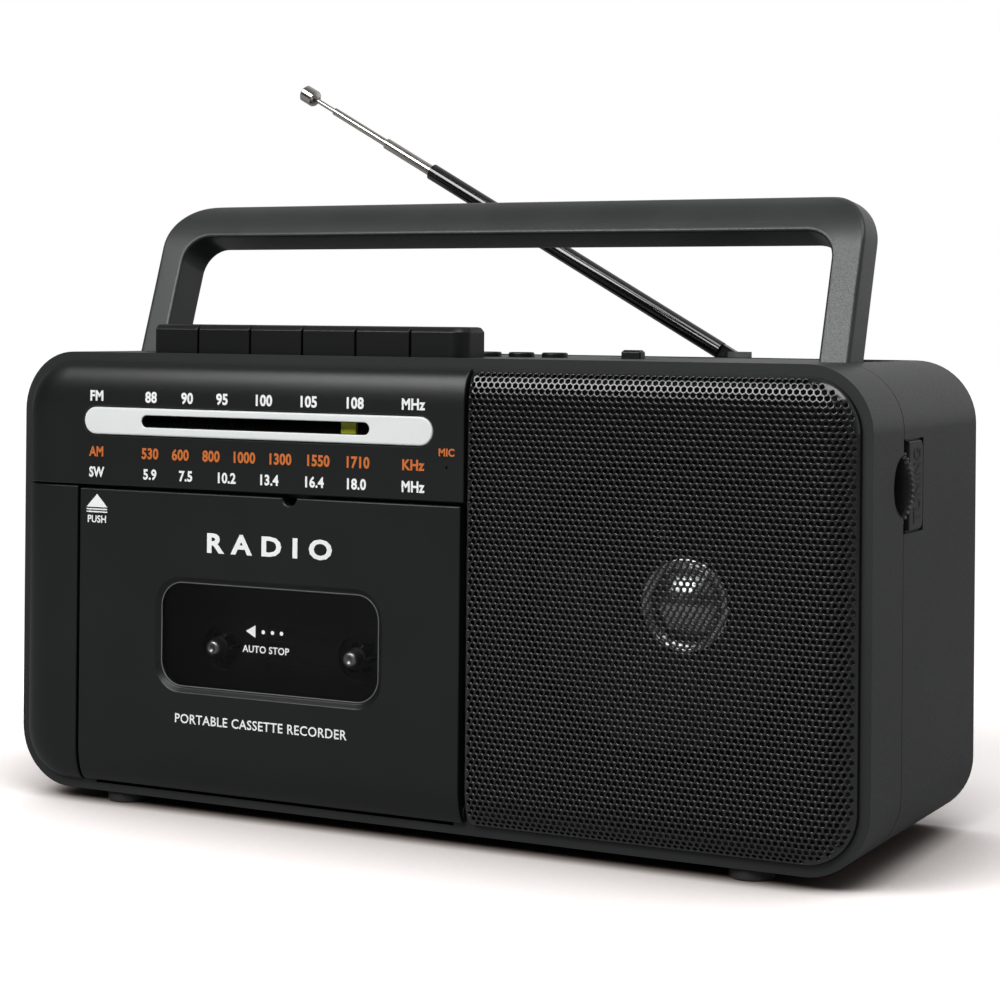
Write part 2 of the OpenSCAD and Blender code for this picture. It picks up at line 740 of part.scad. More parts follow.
module main_board() {
  place() color([0.3, 0.24, 0.1]) {
    block([-100, 51, 41], [52, 84, 42.6]);
    // screened coils
    for (x = [-90 : 12 : -30]) block([x, 56, 42.6], [x + 7, 63, 54]);
    // electrolytic capacitors
    for (x = [-18, -4, 8]) rod_z(x, 62, 42.6, 56, 4);
    // amplifier on its cooling plate
    block([22, 56, 42.6], [44, 58, 58]);
  }
}

module transformer() {
  place() color([0.5, 0.42, 0.3]) {
    block([60, 47, 40], [100, 73, 74]);
    block([66, 43, 46], [94, 77, 68]);
  }
}

module ferrite_rod() {
  place() color([0.2, 0.18, 0.17]) {
    rod_x(63, 92, -60, 40, 4);
    rod_x(63, 92, -50, -22, 5.2);
  }
}

// Outline of the mains inlet for a two-core lead
module inlet_outline(grow) {
  translate([inlet_x, 0]) rounded(-12 - grow, inlet_z - 7 - grow, 12 + grow, inlet_z + 7 + grow, 3);
}

module ac_inlet() {
  place() color([0.06, 0.06, 0.06]) {
    difference() {
      slab(body_d - 14, body_d) inlet_outline(0);
      slab(body_d - 12, body_d + eps) {
        translate([inlet_x, 0]) rounded(-8.2, inlet_z - 4.4, 8.2, inlet_z + 4.4, 4.3);
      }
    }
    for (s = [-1, 1]) rod_y(inlet_x + s * 4.3, inlet_z, body_d - 16, body_d - 3, 1.2);
  }
}

module phone_jack() {
  place() color([0.07, 0.07, 0.07]) difference() {
    union() {
      rod_x(jack_y, jack_z, -half_w, -half_w + 4, 3.9);
      block([-half_w + wall + 0.1, jack_y - 5, jack_z - 5], [-half_w + 15, jack_y + 5, jack_z + 5]);
    }
    rod_x(jack_y, jack_z, -half_w - eps, -half_w + 14, jack_r);
  }
}

module microphone() {
  place() color([0.3, 0.3, 0.3]) 
    rod_y(mic[0], mic[1], panel_d + wall + 0.1, panel_d + wall + 4.5, 3);
}

// Contact plates at both ends of the battery compartment, with coils on one side
module battery_contacts() {
  plate_z = (bay_z0 + bay_z1) / 2;
  mid_y = (bay_y0 + body_d - lid_t) / 2;
  place() color([0.75, 0.75, 0.72]) {
    for (s = [-1, 1]) {
      x = s > 0 ? bay_half - 0.6 : -bay_half;
      block([x, mid_y - 7, plate_z - 8], [x + 0.6, mid_y + 7, plate_z + 8]);
    }
    translate([-bay_half + 0.6, mid_y, plate_z]) rotate([0, 90, 0]) rotate_extrude()
      for (k = [0 : 4]) translate([6.2 - k * 0.9, 0.4 + k * 0.8]) circle(0.6, $fn = 16);
    rod_x(mid_y, plate_z, bay_half - 1.6, bay_half - 0.6 + eps, 3);
  }
}

// ---- Handle -------------------------------------------------------------

module handle() {
  place() color([0.25, 0.27, 0.27])
    translate([0, handle_py, handle_pz]) rotate([-handle_lean, 0, 0]) difference() {
      intersection() {
        union() {
          // outline in X and along the legs, thick from the front face to the back face
          translate([0, t_back, 0]) rotate([90, 0, 0]) linear_extrude(handle_t) difference() {
            rounded(-handle_w, -40, handle_w, s_top, 14.7);
            rounded(-handle_w + handle_leg_w, -60, handle_w - handle_leg_w, s_top - grip_h, 7.5);
            translate([-handle_w - 1, -41]) square([2 * handle_w + 2, 41]);
          }
          // rounded lower ends of the legs
          for (x = [-handle_w, handle_w - handle_leg_w]) {
            for (y = [0, t_back + t_front]) rod_x(y, 0, x, x + handle_leg_w, -t_front);
            block([x, 0, t_front], [x + handle_leg_w, t_back + t_front, eps]);
          }
        }
        // the front curves back towards the top
        union() {
          block([-handle_w - 1, t_front - 1, -handle_t], [handle_w + 1, t_back + 1, roll_s]);
          rod_x(t_front + roll_r, roll_s, -handle_w - 1, handle_w + 1, roll_r);
        }
        // round rear upper edge of the bar
        union() {
          block([-handle_w - 1, t_front - 1, -handle_t], [handle_w + 1, t_back + 1, s_top - bar_back_r]);
          block([-handle_w - 1, t_front - 1, -handle_t], [handle_w + 1, t_back - bar_back_r, s_top + 1]);
          rod_x(t_back - bar_back_r, s_top - bar_back_r, -handle_w - 1, handle_w + 1, bar_back_r);
        }
      }
      rod_x(0, 0, -handle_w - 1, handle_w + 1, handle_pin_r + run_gap);
    }
}

// ---- Battery lid --------------------------------------------------------

module battery_door() {
  place() color([0.16, 0.17, 0.17]) {
    block([-bay_half, body_d - lid_t, bay_z0 + 0.2 + lid_r], [bay_half, body_d, lid_z1]);
    rod_x(body_d - lid_r, bay_z0 + 0.2 + lid_r, -bay_half, bay_half, lid_r);
  }
}

// ---- Antenna ------------------------------------------------------------

// Vertical barrel with a fork for the antenna's knuckle
module antenna_swivel() {
  place() color([0.2, 0.2, 0.2]) {
    difference() {
      union() {
        rod_z(antenna_x, antenna_y, 97, antenna_z + 2.9, barrel_r);
        rod_z(antenna_x, antenna_y, 96, 97.7, barrel_r + 0.4);
        rod_z(antenna_x, antenna_y, 111.3, 112.3, barrel_r + 0.4);
      }
      block([antenna_x - 5, antenna_y - 1.3, antenna_z - 3.2],
            [antenna_x + 5, antenna_y + 1.3, antenna_z + 4]);
    }
    rod_y(antenna_x, antenna_z, antenna_y - 2.9, antenna_y + 2.9, 0.9);
  }
}

// Lays a piece drawn along X onto the antenna's line
module on_antenna() {
  place() translate([antenna_x, antenna_y, antenna_z]) rotate([0, 180 + antenna_tilt, 0]) children();
}

// Tube along X with a narrower neck at its far end
module neck_tube(x0, x1, outer_r, bore_r, neck_r) {
  difference() {
    rod_x(0, 0, x0, x1, outer_r);
    rod_x(0, 0, x0 + 1.5, x1 - 2, bore_r);
    rod_x(0, 0, x1 - 2.1, x1 + eps, neck_r);
  }
}

module antenna_tube_1() {
  on_antenna() color([0.03, 0.03, 0.03]) {
    difference() {
      union() {
        block([0, -1.15, -2.1], [7, 1.15, 2.1]);
        rod_y(0, 0, -1.15, 1.15, 2.1);
      }
      rod_y(0, 0, -2, 2, 0.9 + run_gap);
    }
    neck_tube(6.5, tube_1_end, antenna_d / 2, antenna_d / 2 - 0.4, tube_2_d / 2 + run_gap);
  }
}

module antenna_tube_2() {
  on_antenna() color([0.8, 0.8, 0.8]) {
    neck_tube(tube_2_end - 101, tube_2_end, tube_2_d / 2, tube_2_d / 2 - 0.3, tube_3_d / 2 + run_gap);
    difference() {
      rod_x(0, 0, tube_2_end - 101, tube_2_end - 99, antenna_d / 2 - 0.4 - run_gap);
      rod_x(0, 0, tube_2_end - 102, tube_2_end - 98, tube_2_d / 2 - 0.2);
    }
  }
}

module antenna_tube_3() {
  on_antenna() color([0.82, 0.82, 0.82]) {
    neck_tube(tube_3_end - 99, tube_3_end, tube_3_d / 2, tube_3_d / 2 - 0.25, rod_d / 2 + run_gap);
    difference() {
      rod_x(0, 0, tube_3_end - 99, tube_3_end - 97, tube_2_d / 2 - 0.3 - run_gap);
      rod_x(0, 0, tube_3_end - 100, tube_3_end - 96, tube_3_d / 2 - 0.1);
    }
  }
}

module antenna_rod() {
  on_antenna() color([0.84, 0.84, 0.84]) {
    rod_x(0, 0, tip_end - 102, tip_end - 5, rod_d / 2);
    translate([tip_end, 0, 0]) rotate([0, -90, 0]) rotate_extrude()
      polygon([[0, 0], [1.9, 0], [2.5, 0.6], [2.5, 4.4], [2.1, 5], [1.2, 5.6], [0, 5.6]]);
  }
}

front_shell();
rear_shell();
side_trim();
dial_panel();
dial_window();
dial_lens();
speaker_grille();
speaker_frame();
speaker_magnet();
speaker_cone();
speaker_dust_cap();
cassette_well();
deck_chassis();
motor();
drive_belt();
key_shaft();
key_springs();
main_board();
transformer();
ferrite_rod();
tuning_capacitor();
volume_pot();
ac_inlet();
phone_jack();
battery_contacts();
wheel_plates();
microphone();
feet();
case_screws();
hinge_pins();
switch_board();
cassette_door();
door_window();
cassette_holder();
key_pause();
key_stop();
key_forward();
key_rewind();
key_play();
key_record();
button_previous();
button_play();
button_next();
function_knob();
band_knob();
tuning_wheel();
dial_pointer();
volume_wheel();
supply_spindle();
takeup_spindle();
capstan_flywheel();
motor_pulley();
head_bridge();
handle();
battery_door();
antenna_swivel();
antenna_tube_1();
antenna_tube_2();
antenna_tube_3();
antenna_rod();
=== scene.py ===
import json
import math

import bmesh
import bpy
from mathutils import Matrix, Vector

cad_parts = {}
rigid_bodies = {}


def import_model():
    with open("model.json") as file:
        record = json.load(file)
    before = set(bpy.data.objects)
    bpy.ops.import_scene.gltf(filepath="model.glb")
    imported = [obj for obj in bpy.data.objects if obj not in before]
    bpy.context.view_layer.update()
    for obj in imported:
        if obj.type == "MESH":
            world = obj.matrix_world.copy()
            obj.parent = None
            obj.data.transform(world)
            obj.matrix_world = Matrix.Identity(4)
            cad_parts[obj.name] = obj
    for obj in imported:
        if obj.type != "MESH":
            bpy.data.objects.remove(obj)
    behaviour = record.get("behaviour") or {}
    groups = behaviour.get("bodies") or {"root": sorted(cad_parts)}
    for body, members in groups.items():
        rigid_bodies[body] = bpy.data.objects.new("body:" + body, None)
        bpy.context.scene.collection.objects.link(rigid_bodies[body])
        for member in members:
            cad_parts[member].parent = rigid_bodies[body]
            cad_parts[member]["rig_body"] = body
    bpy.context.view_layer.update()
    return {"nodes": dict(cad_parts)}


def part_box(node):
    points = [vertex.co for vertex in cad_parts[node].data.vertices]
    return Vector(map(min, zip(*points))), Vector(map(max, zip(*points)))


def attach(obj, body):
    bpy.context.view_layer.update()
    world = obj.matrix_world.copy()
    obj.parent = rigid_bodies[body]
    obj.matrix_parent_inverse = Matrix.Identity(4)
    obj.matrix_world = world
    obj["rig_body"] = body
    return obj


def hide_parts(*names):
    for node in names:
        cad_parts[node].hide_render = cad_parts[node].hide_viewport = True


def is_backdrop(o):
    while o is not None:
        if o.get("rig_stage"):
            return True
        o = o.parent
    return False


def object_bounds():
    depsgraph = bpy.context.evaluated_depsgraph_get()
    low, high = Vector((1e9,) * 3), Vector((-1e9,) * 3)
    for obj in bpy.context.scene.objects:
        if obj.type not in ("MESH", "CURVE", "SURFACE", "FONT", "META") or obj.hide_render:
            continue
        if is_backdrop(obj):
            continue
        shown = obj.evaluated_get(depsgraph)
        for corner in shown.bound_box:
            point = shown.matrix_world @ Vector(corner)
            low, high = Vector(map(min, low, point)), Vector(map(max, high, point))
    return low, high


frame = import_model()
nodes = frame["nodes"]

# The case frame: millimetres, X to the right, Y back from the front panel, Z up from the underside
MM = 0.001
FRONT_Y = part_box("cassette_door")[0].y
BASE_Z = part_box("front_shell")[0].z
TO_ROW = Matrix.Translation((0, FRONT_Y, BASE_Z)) @ Matrix.Scale(MM, 4)
TO_CASE = TO_ROW.inverted()


def case_box(node):
    """Lowest and highest corner of a CAD node in the case frame."""
    low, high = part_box(node)
    return TO_CASE @ low, TO_CASE @ high


# ---- Materials ----


class Nodes:
    """Shorthand for building a material's node tree."""

    def __init__(self, name):
        self.material = bpy.data.materials.new(name)
        self.material.use_nodes = True
        self.tree = self.material.node_tree
        self.shader = self.tree.nodes["Principled BSDF"]
        self.coords = self.tree.nodes.new("ShaderNodeTexCoord").outputs["Object"]

    def add(self, kind, **inputs):
        node = self.tree.nodes.new(kind)
        for name, value in inputs.items():
            self.feed(node.inputs[name.replace("_", " ")], value)
        return node

    def feed(self, socket, value):
        if isinstance(value, bpy.types.NodeSocket):
            self.tree.links.new(value, socket)
        else:
            socket.default_value = value

    def set(self, **inputs):
        for name, value in inputs.items():
            self.feed(self.shader.inputs[name.replace("_", " ")], value)

    def noise(self, scale, detail=2.0, stretch=None):
        source = self.coords
        if stretch:
            mapping = self.add("ShaderNodeMapping", Vector=source)
            mapping.inputs["Scale"].default_value = stretch
            source = mapping.outputs["Vector"]
        return self.add("ShaderNodeTexNoise", Vector=source, Scale=scale, Detail=detail).outputs["Fac"]

    def ramp(self, fac, low, high, start=0.35, end=0.65):
        ramp = self.add("ShaderNodeMapRange", Value=fac)
        for name, value in (("From Min", start), ("From Max", end), ("To Min", low), ("To Max", high)):
            ramp.inputs[name].default_value = value
        return ramp.outputs["Result"]

    def tint(self, fac, dark, light):
        mix = self.tree.nodes.new("ShaderNodeMix")
        mix.data_type = "RGBA"
        self.feed(mix.inputs[0], fac)
        mix.inputs[6].default_value = (*dark, 1)
        mix.inputs[7].default_value = (*light, 1)
        return mix.outputs[2]

    def bump(self, height, strength, distance):
        bump = self.add("ShaderNodeBump", Height=height, Strength=strength, Distance=distance)
        self.feed(self.shader.inputs["Normal"], bump.outputs["Normal"])


def moulded(name, colour, roughness, grain=3200, strength=0.12, variation=0.12, specular=0.5):
    """Moulded plastic or paint: a fine grain, faint cloudiness, and roughness that varies a little."""
    m = Nodes(name)
    cloud = m.noise(45, 3)
    dark = [c * (1 - variation) for c in colour]
    light = [c * (1 + variation) for c in colour]
    fine = m.noise(grain, 2)
    m.set(
        Base_Color=m.tint(m.ramp(cloud, 0, 1), dark, light),
        Roughness=m.ramp(fine, roughness - 0.05, roughness + 0.05),
        Specular_IOR_Level=specular,
    )
    m.bump(fine, strength, 0.00005)
    return m.material


def metal(name, colour, roughness, stretch=None, strength=0.05):
    """Bare or plated metal with fine drawn lines."""
    m = Nodes(name)
    lines = m.noise(900, 3, stretch or (1, 1, 1))
    m.set(
        Base_Color=m.tint(m.ramp(lines, 0, 1), [c * 0.9 for c in colour], colour),
        Metallic=1.0,
        Roughness=m.ramp(lines, roughness * 0.8, roughness * 1.2),
    )
    m.bump(lines, strength, 0.00003)
    return m.material


def smoked(name, colour, alpha, roughness):
    """Thin clear plastic seen edge to edge: mostly see-through, with a glossy skin."""
    m = Nodes(name)
    haze = m.noise(60, 3)
    m.set(
        Base_Color=(*colour, 1),
        Roughness=m.ramp(haze, roughness * 0.7, roughness * 1.3),
        Specular_IOR_Level=0.3,
        Alpha=alpha,
    )
    return m.material


CASE = moulded("case_plastic", (0.015, 0.017, 0.0162), 0.46, grain=2600, strength=0.25)
PANEL = moulded("panel_plastic", (0.0052, 0.0061, 0.0059), 0.36, grain=3400, strength=0.10, specular=0.45)
HANDLE = moulded("handle_plastic", (0.023, 0.027, 0.026), 0.38, grain=2600, strength=0.22)
KEY = moulded("key_plastic", (0.0035, 0.0038, 0.0038), 0.36, grain=3600, strength=0.08, specular=0.4)
WHEEL = moulded("wheel_plastic", (0.010, 0.010, 0.010), 0.40)
GRILLE = moulded("grille_paint", (0.0024, 0.0026, 0.0026), 0.17, grain=4200, strength=0.06, specular=0.85)
WELL = moulded("well_plastic", (0.004, 0.004, 0.0043), 0.40)
# Black paint, also painted shade: near black so that what shows through the grille's holes reads as the shade
# behind it.
BLACK_AND_SHADE = moulded("black_paint_and_shade", (0.0015, 0.0015, 0.0015), 0.70, specular=0.2)
SILVER = moulded("silver_paint", (0.80, 0.83, 0.82), 0.30, grain=5000, strength=0.05, variation=0.02)
POINTER = moulded("pointer_plastic", (0.80, 0.84, 0.03), 0.35, variation=0.04)
HUB = moulded("spindle_plastic", (0.0035, 0.0035, 0.0035), 0.40)
RUBBER = moulded("rubber", (0.018, 0.018, 0.018), 0.70, grain=1500, strength=0.3)
BOARD = moulded("board_resin", (0.20, 0.12, 0.05), 0.55, variation=0.2)
CORE = moulded("core_lacquer", (0.22, 0.17, 0.11), 0.45, variation=0.2)
FERRITE = moulded("ferrite_ceramic", (0.045, 0.042, 0.042), 0.55)
PART = moulded("component_plastic", (0.38, 0.37, 0.33), 0.45)
SOCKET = moulded("socket_plastic", (0.010, 0.010, 0.010), 0.32)
PAPER = moulded("cone_paper", (0.006, 0.0057, 0.0057), 0.75, grain=1200, strength=0.6, specular=0.25)
INK_WHITE = moulded("ink_white", (0.93, 0.93, 0.93), 0.50, variation=0.03)
INK_ORANGE = moulded("ink_orange", (0.60, 0.15, 0.024), 0.50, variation=0.03)
INK_GREY = moulded("ink_grey", (0.16, 0.165, 0.165), 0.45, variation=0.03)
# Painted shade: the raised words on the wheel plates are case plastic, made darker for the shade round their
# edges.
EMBOSS_SHADE = moulded("letter_painted_shade", (0.012, 0.012, 0.012), 0.60)
STEEL = metal("zinc_steel", (0.55, 0.56, 0.57), 0.32)
BRASS = metal("turned_brass", (0.72, 0.55, 0.28), 0.28)
DOME = metal("dome_aluminium", (0.86, 0.86, 0.88), 0.20)
TIP = metal("spindle_steel", (0.86, 0.86, 0.86), 0.36)
CHROME = metal("antenna_chrome", (0.62, 0.60, 0.57), 0.16, stretch=(0.2, 1, 1), strength=0.02)
LACQUER = moulded("antenna_lacquer", (0.004, 0.004, 0.004), 0.13, strength=0.02, specular=1.0)
KNUCKLE = moulded("knuckle_metal", (0.16, 0.16, 0.16), 0.35)
SMOKE = smoked("smoked_clear", (0.002, 0.002, 0.003), 0.30, 0.12)
CLEAR = smoked("clear_strip", (0.02, 0.02, 0.02), 0.05, 0.12)

# ---- Mesh building ----

CAP_HEIGHT = 0.73  # height of the font's capitals at size 1


def circle(count):
    """Cosine and sine of evenly spaced angles."""
    return [(math.cos(a), math.sin(a)) for a in (2 * math.pi * k / count for k in range(count))]


def at_depth(points, y):
    """Points of a front view, at a depth."""
    return [(x, y, z) for x, z in points]


def round_ring(x, y, z, r, count):
    """Circle that faces the front."""
    return [(x + r * c, y, z + r * s) for c, s in circle(count)]


def new_object(name, data):
    made = bpy.data.objects.new(name, data)
    bpy.context.scene.collection.objects.link(made)
    return made


class Shape:
    """A mesh in the making, with its points in the case frame."""

    def __init__(self):
        self.bm = bmesh.new()

    def ring(self, points):
        return [self.bm.verts.new(p) for p in points]

    def bridge(self, first, second):
        """Skin between two rings of the same number of points."""
        for i in range(len(first)):
            j = (i + 1) % len(first)
            self.bm.faces.new((first[i], first[j], second[j], second[i]))

    def stack(self, rings, start=False, end=False):
        """Skins over rings of the same number of points, with flat ends where asked."""
        made = [self.ring(r) for r in rings]
        for a, b in zip(made, made[1:]):
            self.bridge(a, b)
        if start:
            self.bm.faces.new(made[0][::-1])
        if end:
            self.bm.faces.new(made[-1])
        return made

    def fill(self, *rings):
        """Flat fill inside the first ring and outside the others."""
        edges = []
        for ring in rings:
            for a, b in zip(ring, ring[1:] + ring[:1]):
                edges.append(self.bm.edges.get((a, b)) or self.bm.edges.new((a, b)))
        bmesh.ops.triangle_fill(self.bm, use_beauty=True, use_dissolve=False, edges=edges)

    def carve(self, cutter):
        """Takes another closed shape away from this one."""
        kept, tool = mesh_object(self), mesh_object(cutter)
        cut = kept.modifiers.new("cut", "BOOLEAN")
        cut.operation, cut.solver, cut.object = "DIFFERENCE", "EXACT", tool
        bpy.context.view_layer.update()
        mesh = bpy.data.meshes.new_from_object(kept.evaluated_get(bpy.context.evaluated_depsgraph_get()))
        self.bm.clear()
        self.bm.from_mesh(mesh)
        for made in (kept, tool):
            old = made.data
            bpy.data.objects.remove(made)
            bpy.data.meshes.remove(old)
        bpy.data.meshes.remove(mesh)

    def add_mesh(self, mesh, matrix):
        """Adds a mesh, moved by a matrix."""
        start = len(self.bm.verts)
        self.bm.from_mesh(mesh)
        self.bm.verts.ensure_lookup_table()
        for v in self.bm.verts[start:]:
            v.co = matrix @ v.co


def mesh_object(shape):
    """Bare object made from a shape, for a cut."""
    bmesh.ops.recalc_face_normals(shape.bm, faces=shape.bm.faces)
    mesh = bpy.data.meshes.new("cut")
    shape.bm.to_mesh(mesh)
    return new_object("cut", mesh)


def finish_piece(shape, name, material, body, replaces=(), angle=35, weighted=True):
    """Turns a shape into a piece that rides on a body. angle is where its shading turns sharp."""
    bmesh.ops.recalc_face_normals(shape.bm, faces=shape.bm.faces)
    return plain_piece(shape, name, material, body, replaces, angle, weighted)


def plain_piece(shape, name, material, body, replaces=(), angle=35, weighted=True):
    """The same for a shape whose faces already look outwards."""
    mesh = bpy.data.meshes.new(name)
    shape.bm.to_mesh(mesh)
    shape.bm.free()
    mesh.transform(TO_ROW)
    mesh.polygons.foreach_set("use_smooth", [True] * len(mesh.polygons))
    mesh.set_sharp_from_angle(angle=math.radians(angle))
    mesh.materials.append(material)
    piece = new_object(name, mesh)
    if weighted:
        piece.modifiers.new("weighted", "WEIGHTED_NORMAL").keep_sharp = True
    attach(piece, body)
    if replaces:
        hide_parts(*replaces)
    return piece


def outline(box, radii, inset=0.0, arc=8, ends=(), grow=(1, 1, 1, 1)):
    """Points round a rectangle with its own radius at each corner, from the lower left anticlockwise.
    grow scales the inset of the left, lower, right and upper side."""
    x0, z0, x1, z1 = box
    left, low, right, high = (inset * g for g in grow)
    signs = ((1, 1, 180, left, low), (-1, 1, 270, right, low),
             (-1, -1, 0, right, high), (1, -1, 90, left, high))
    sites = ((x0, z0), (x1, z0), (x1, z1), (x0, z1))
    arcs = []
    for (sx, sz, start, ix, iz), (cx, cz), r in zip(signs, sites, radii):
        rx, rz = max(r - ix, 0.04), max(r - iz, 0.04)
        px, pz = cx + sx * (ix + rx), cz + sz * (iz + rz)
        arcs.append([
            (px + rx * math.cos(math.radians(start + 90 * k / arc)),
             pz + rz * math.sin(math.radians(start + 90 * k / arc)))
            for k in range(arc + 1)
        ])
    widths = [x1 - x0, z1 - z0, x1 - x0, z1 - z0]
    points = []
    for i, a in enumerate(arcs):
        points += a
        b = arcs[(i + 1) % 4]
        length = widths[i] - radii[i] - radii[(i + 1) % 4]
        near = [d / length for d in ends if d < length / 2]
        for t in near + [1 - t for t in reversed(near)]:
            points.append((a[-1][0] * (1 - t) + b[0][0] * t, a[-1][1] * (1 - t) + b[0][1] * t))
    return points


def lettering(shape, text, x, z, height, squeeze=0.93, bold=0.033, y=0.0, rise=0.04, spacing=1.04, turn=None):
    """Adds raised lettering whose middle line is at height z, facing the front or turned."""
    curve = bpy.data.curves.new("lettering", "FONT")
    curve.body = text
    curve.size = 1.0
    curve.align_x = "CENTER"
    curve.offset = bold
    curve.extrude = 0.5
    curve.resolution_u = 3
    curve.space_character = spacing
    carrier = new_object("lettering", curve)
    bpy.context.view_layer.update()
    mesh = bpy.data.meshes.new_from_object(carrier.evaluated_get(bpy.context.evaluated_depsgraph_get()))
    size = height / CAP_HEIGHT
    if turn is None:
        turn = Matrix(((1, 0, 0, x), (0, 0, -1, y), (0, 1, 0, z), (0, 0, 0, 1)))
    scale = Matrix.Diagonal((size * squeeze, size, rise * 2, 1))
    shape.add_mesh(mesh, turn @ Matrix.Translation((0, -height / 2, 0)) @ scale)
    bpy.data.objects.remove(carrier)
    bpy.data.curves.remove(curve)
    bpy.data.meshes.remove(mesh)


def rounded_steps(radius, count):
    """Pairs of inset and drop that round an edge, from its outer side inwards."""
    angles = [math.radians(90 * k / count) for k in range(count + 1)]
    return [(radius * (1 - math.cos(a)), radius * (1 - math.sin(a))) for a in angles]


def edge_round(distance, radius):
    """How far a rounded edge has dropped at a distance from the side."""
    return radius - math.sqrt(max(radius ** 2 - (radius - distance) ** 2, 0)) if distance < radius else 0


def lathe(shape, centre, axis, profile, count=48):
    """Turns pairs of radius and distance about an axis through a point."""
    axis = Vector(axis).normalized()
    side = axis.orthogonal().normalized()
    other = axis.cross(side)
    rings = []
    for r, d in profile:
        rings.append([
            Vector(centre) + axis * d + (side * c + other * s) * r for c, s in circle(count)
        ])
    return shape.stack(rings, start=True, end=True)


def eye(shape, x, y, z, bore, outer, edge, length, count):
    """Bored round lug along X with its outer edges bevelled."""
    profile = ((bore, length), (bore, 0), (outer - edge, 0), (outer, edge), (outer, length - edge),
               (outer - edge, length), (bore, length))
    shape.stack([[(x + dx, y + r * c, z + r * s) for c, s in circle(count)] for r, dx in profile])


def rounded_box(shape, low, high, radius, up=2):
    """Box with its corners along one axis and the edges of both ends rounded."""
    a, b, c = {0: (1, 2, 0), 1: (0, 2, 1), 2: (0, 1, 2)}[up]
    box = (low[a], low[b], high[a], high[b])
    edge = rounded_steps(radius, 3)
    levels = [(inset, low[c] + drop) for inset, drop in reversed(edge)]
    levels += [(inset, high[c] - drop) for inset, drop in edge]
    rings = []
    for inset, level in levels:
        ring = []
        for p, q in outline(box, (radius,) * 4, inset, arc=5):
            point = [0, 0, 0]
            point[a], point[b], point[c] = p, q, level
            ring.append(point)
        rings.append(ring)
    shape.stack(rings, start=True, end=True)


def sharp_edges(bm):
    """Edges where two faces meet at more than about 35 degrees."""
    return [e for e in bm.edges if len(e.link_faces) == 2 and e.calc_face_angle(0) > 0.6]


def softened(node, radius, material, segments=2, extra=()):
    """A CAD node's own shape with its edges rounded. extra pairs a larger radius with a test
    for the edges that get it."""
    shape = Shape()
    shape.bm.from_mesh(nodes[node].data)
    bm = shape.bm
    bmesh.ops.transform(bm, matrix=TO_CASE, verts=bm.verts)
    bmesh.ops.remove_doubles(bm, verts=bm.verts, dist=0.002)
    bmesh.ops.dissolve_limit(bm, angle_limit=math.radians(0.4), verts=bm.verts, edges=bm.edges)

    def bevel(edges, offset, count):
        bmesh.ops.bevel(bm, geom=edges, offset=offset, segments=count, profile=0.5, affect="EDGES",
                        clamp_overlap=True)

    for big, chosen in extra:
        bevel([e for e in sharp_edges(bm) if chosen(e)], big, 5)
    bevel(sharp_edges(bm), radius, segments)
    body = nodes[node]["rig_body"]
    return finish_piece(shape, node + "_shaped", material, body, [node])


# ---- Front panels ----

shell_low, shell_high = case_box("front_shell")
PANEL_IN = 2.6  # from the case's outside to the panels
PANEL_R = 13.4
PANEL_BACK = 4.5  # depth of the panels' rear side
EDGE_R = 0.45  # rounding of the panels' edges
PILLOW_W = 10.0  # width of the border that curves back
PILLOW_D = 4.3
panel_half_w = shell_high.x - PANEL_IN
panel_mid = (shell_low.z + shell_high.z) / 2
panel_half_h = shell_high.z - panel_mid - PANEL_IN


def pillow(x, z):
    """How far the front lies behind its foremost plane: it curves back along its outer border."""
    qx = abs(x) - (panel_half_w - PANEL_R)
    qz = abs(z - panel_mid) - (panel_half_h - PANEL_R)
    inside = PANEL_R - (math.hypot(max(qx, 0), max(qz, 0)) + min(max(qx, qz), 0))
    t = min(1, max(0, 1 - inside / PILLOW_W))
    return PILLOW_D * (1 - math.sqrt(1 - t * t))


# Insets of a panel's rings, and the distances from its corners at which its sides get points
PANEL_INSETS = (0, 0.06, 0.16, 0.3, 0.45, 1, 1.8, 2.7, 3.7, 4.8, 6, 7.3, 8.8, 10.7)
PANEL_ENDS = (0.6, 1.2, 2, 3, 4, 5, 6.2, 7.5, 9, 10.6)


def panel(node, radii, outer, back, holes, trim=(0, 0, 0, 0), arc=10):
    """Front panel that follows the pillow. outer marks the sides on the front's border; holes are
    functions that cut into the flat middle and return their front and rear ring; trim widens the gap
    on each side. Returns the shape, its rear ring and the rear rings of the holes."""
    low, high = case_box(node)
    box = (low.x + trim[0], low.z + trim[1], high.x - trim[2], high.z - trim[3])
    shape = Shape()
    rings = []
    for inset in PANEL_INSETS:
        seam = min(inset, EDGE_R) + max(0, inset - EDGE_R) * 0.1
        grow = [1 if o else (seam / inset if inset else 1) for o in outer]
        ring = outline(box, radii, inset, arc, PANEL_ENDS, grow)
        drop = edge_round(inset, EDGE_R)
        rings.append([(x, min(pillow(x, z) + drop, back(x, z) - 0.1), z) for x, z in ring])
    rear = [[(x, back(x, z), z) for x, z in outline(box, radii, i, arc, PANEL_ENDS)] for i in (1.2, 0)]
    made = shape.stack(rear + rings)
    cuts = [hole(shape) for hole in holes]
    shape.fill(made[-1], *(front for front, _ in cuts))
    return shape, made[0], [rearmost for _, rearmost in cuts]


def flat_back(x, z):
    """Depth of a flat rear side."""
    return PANEL_BACK


def pill_points(x0, x1, z, height, grow, count=12):
    """Points round a slot with round ends."""
    r = height / 2
    points = []
    for cx, start in ((x0 + r, 90), (x1 - r, 270)):
        for k in range(count + 1):
            a = math.radians(start + 180 * k / count)
            points.append((cx + (r + grow) * math.cos(a), z + (r + grow) * math.sin(a)))
    return points


window_low, window_high = case_box("dial_window")
dial_mid = (window_low.z + window_high.z) / 2
slot_low, slot_high = case_box("dial_lens")
STRIP_H = 7.3
strip_mid = dial_mid - 0.15
SLOT_H = 3.2
slot_x0, slot_x1 = slot_low.x + 2.4, slot_high.x - 2.9


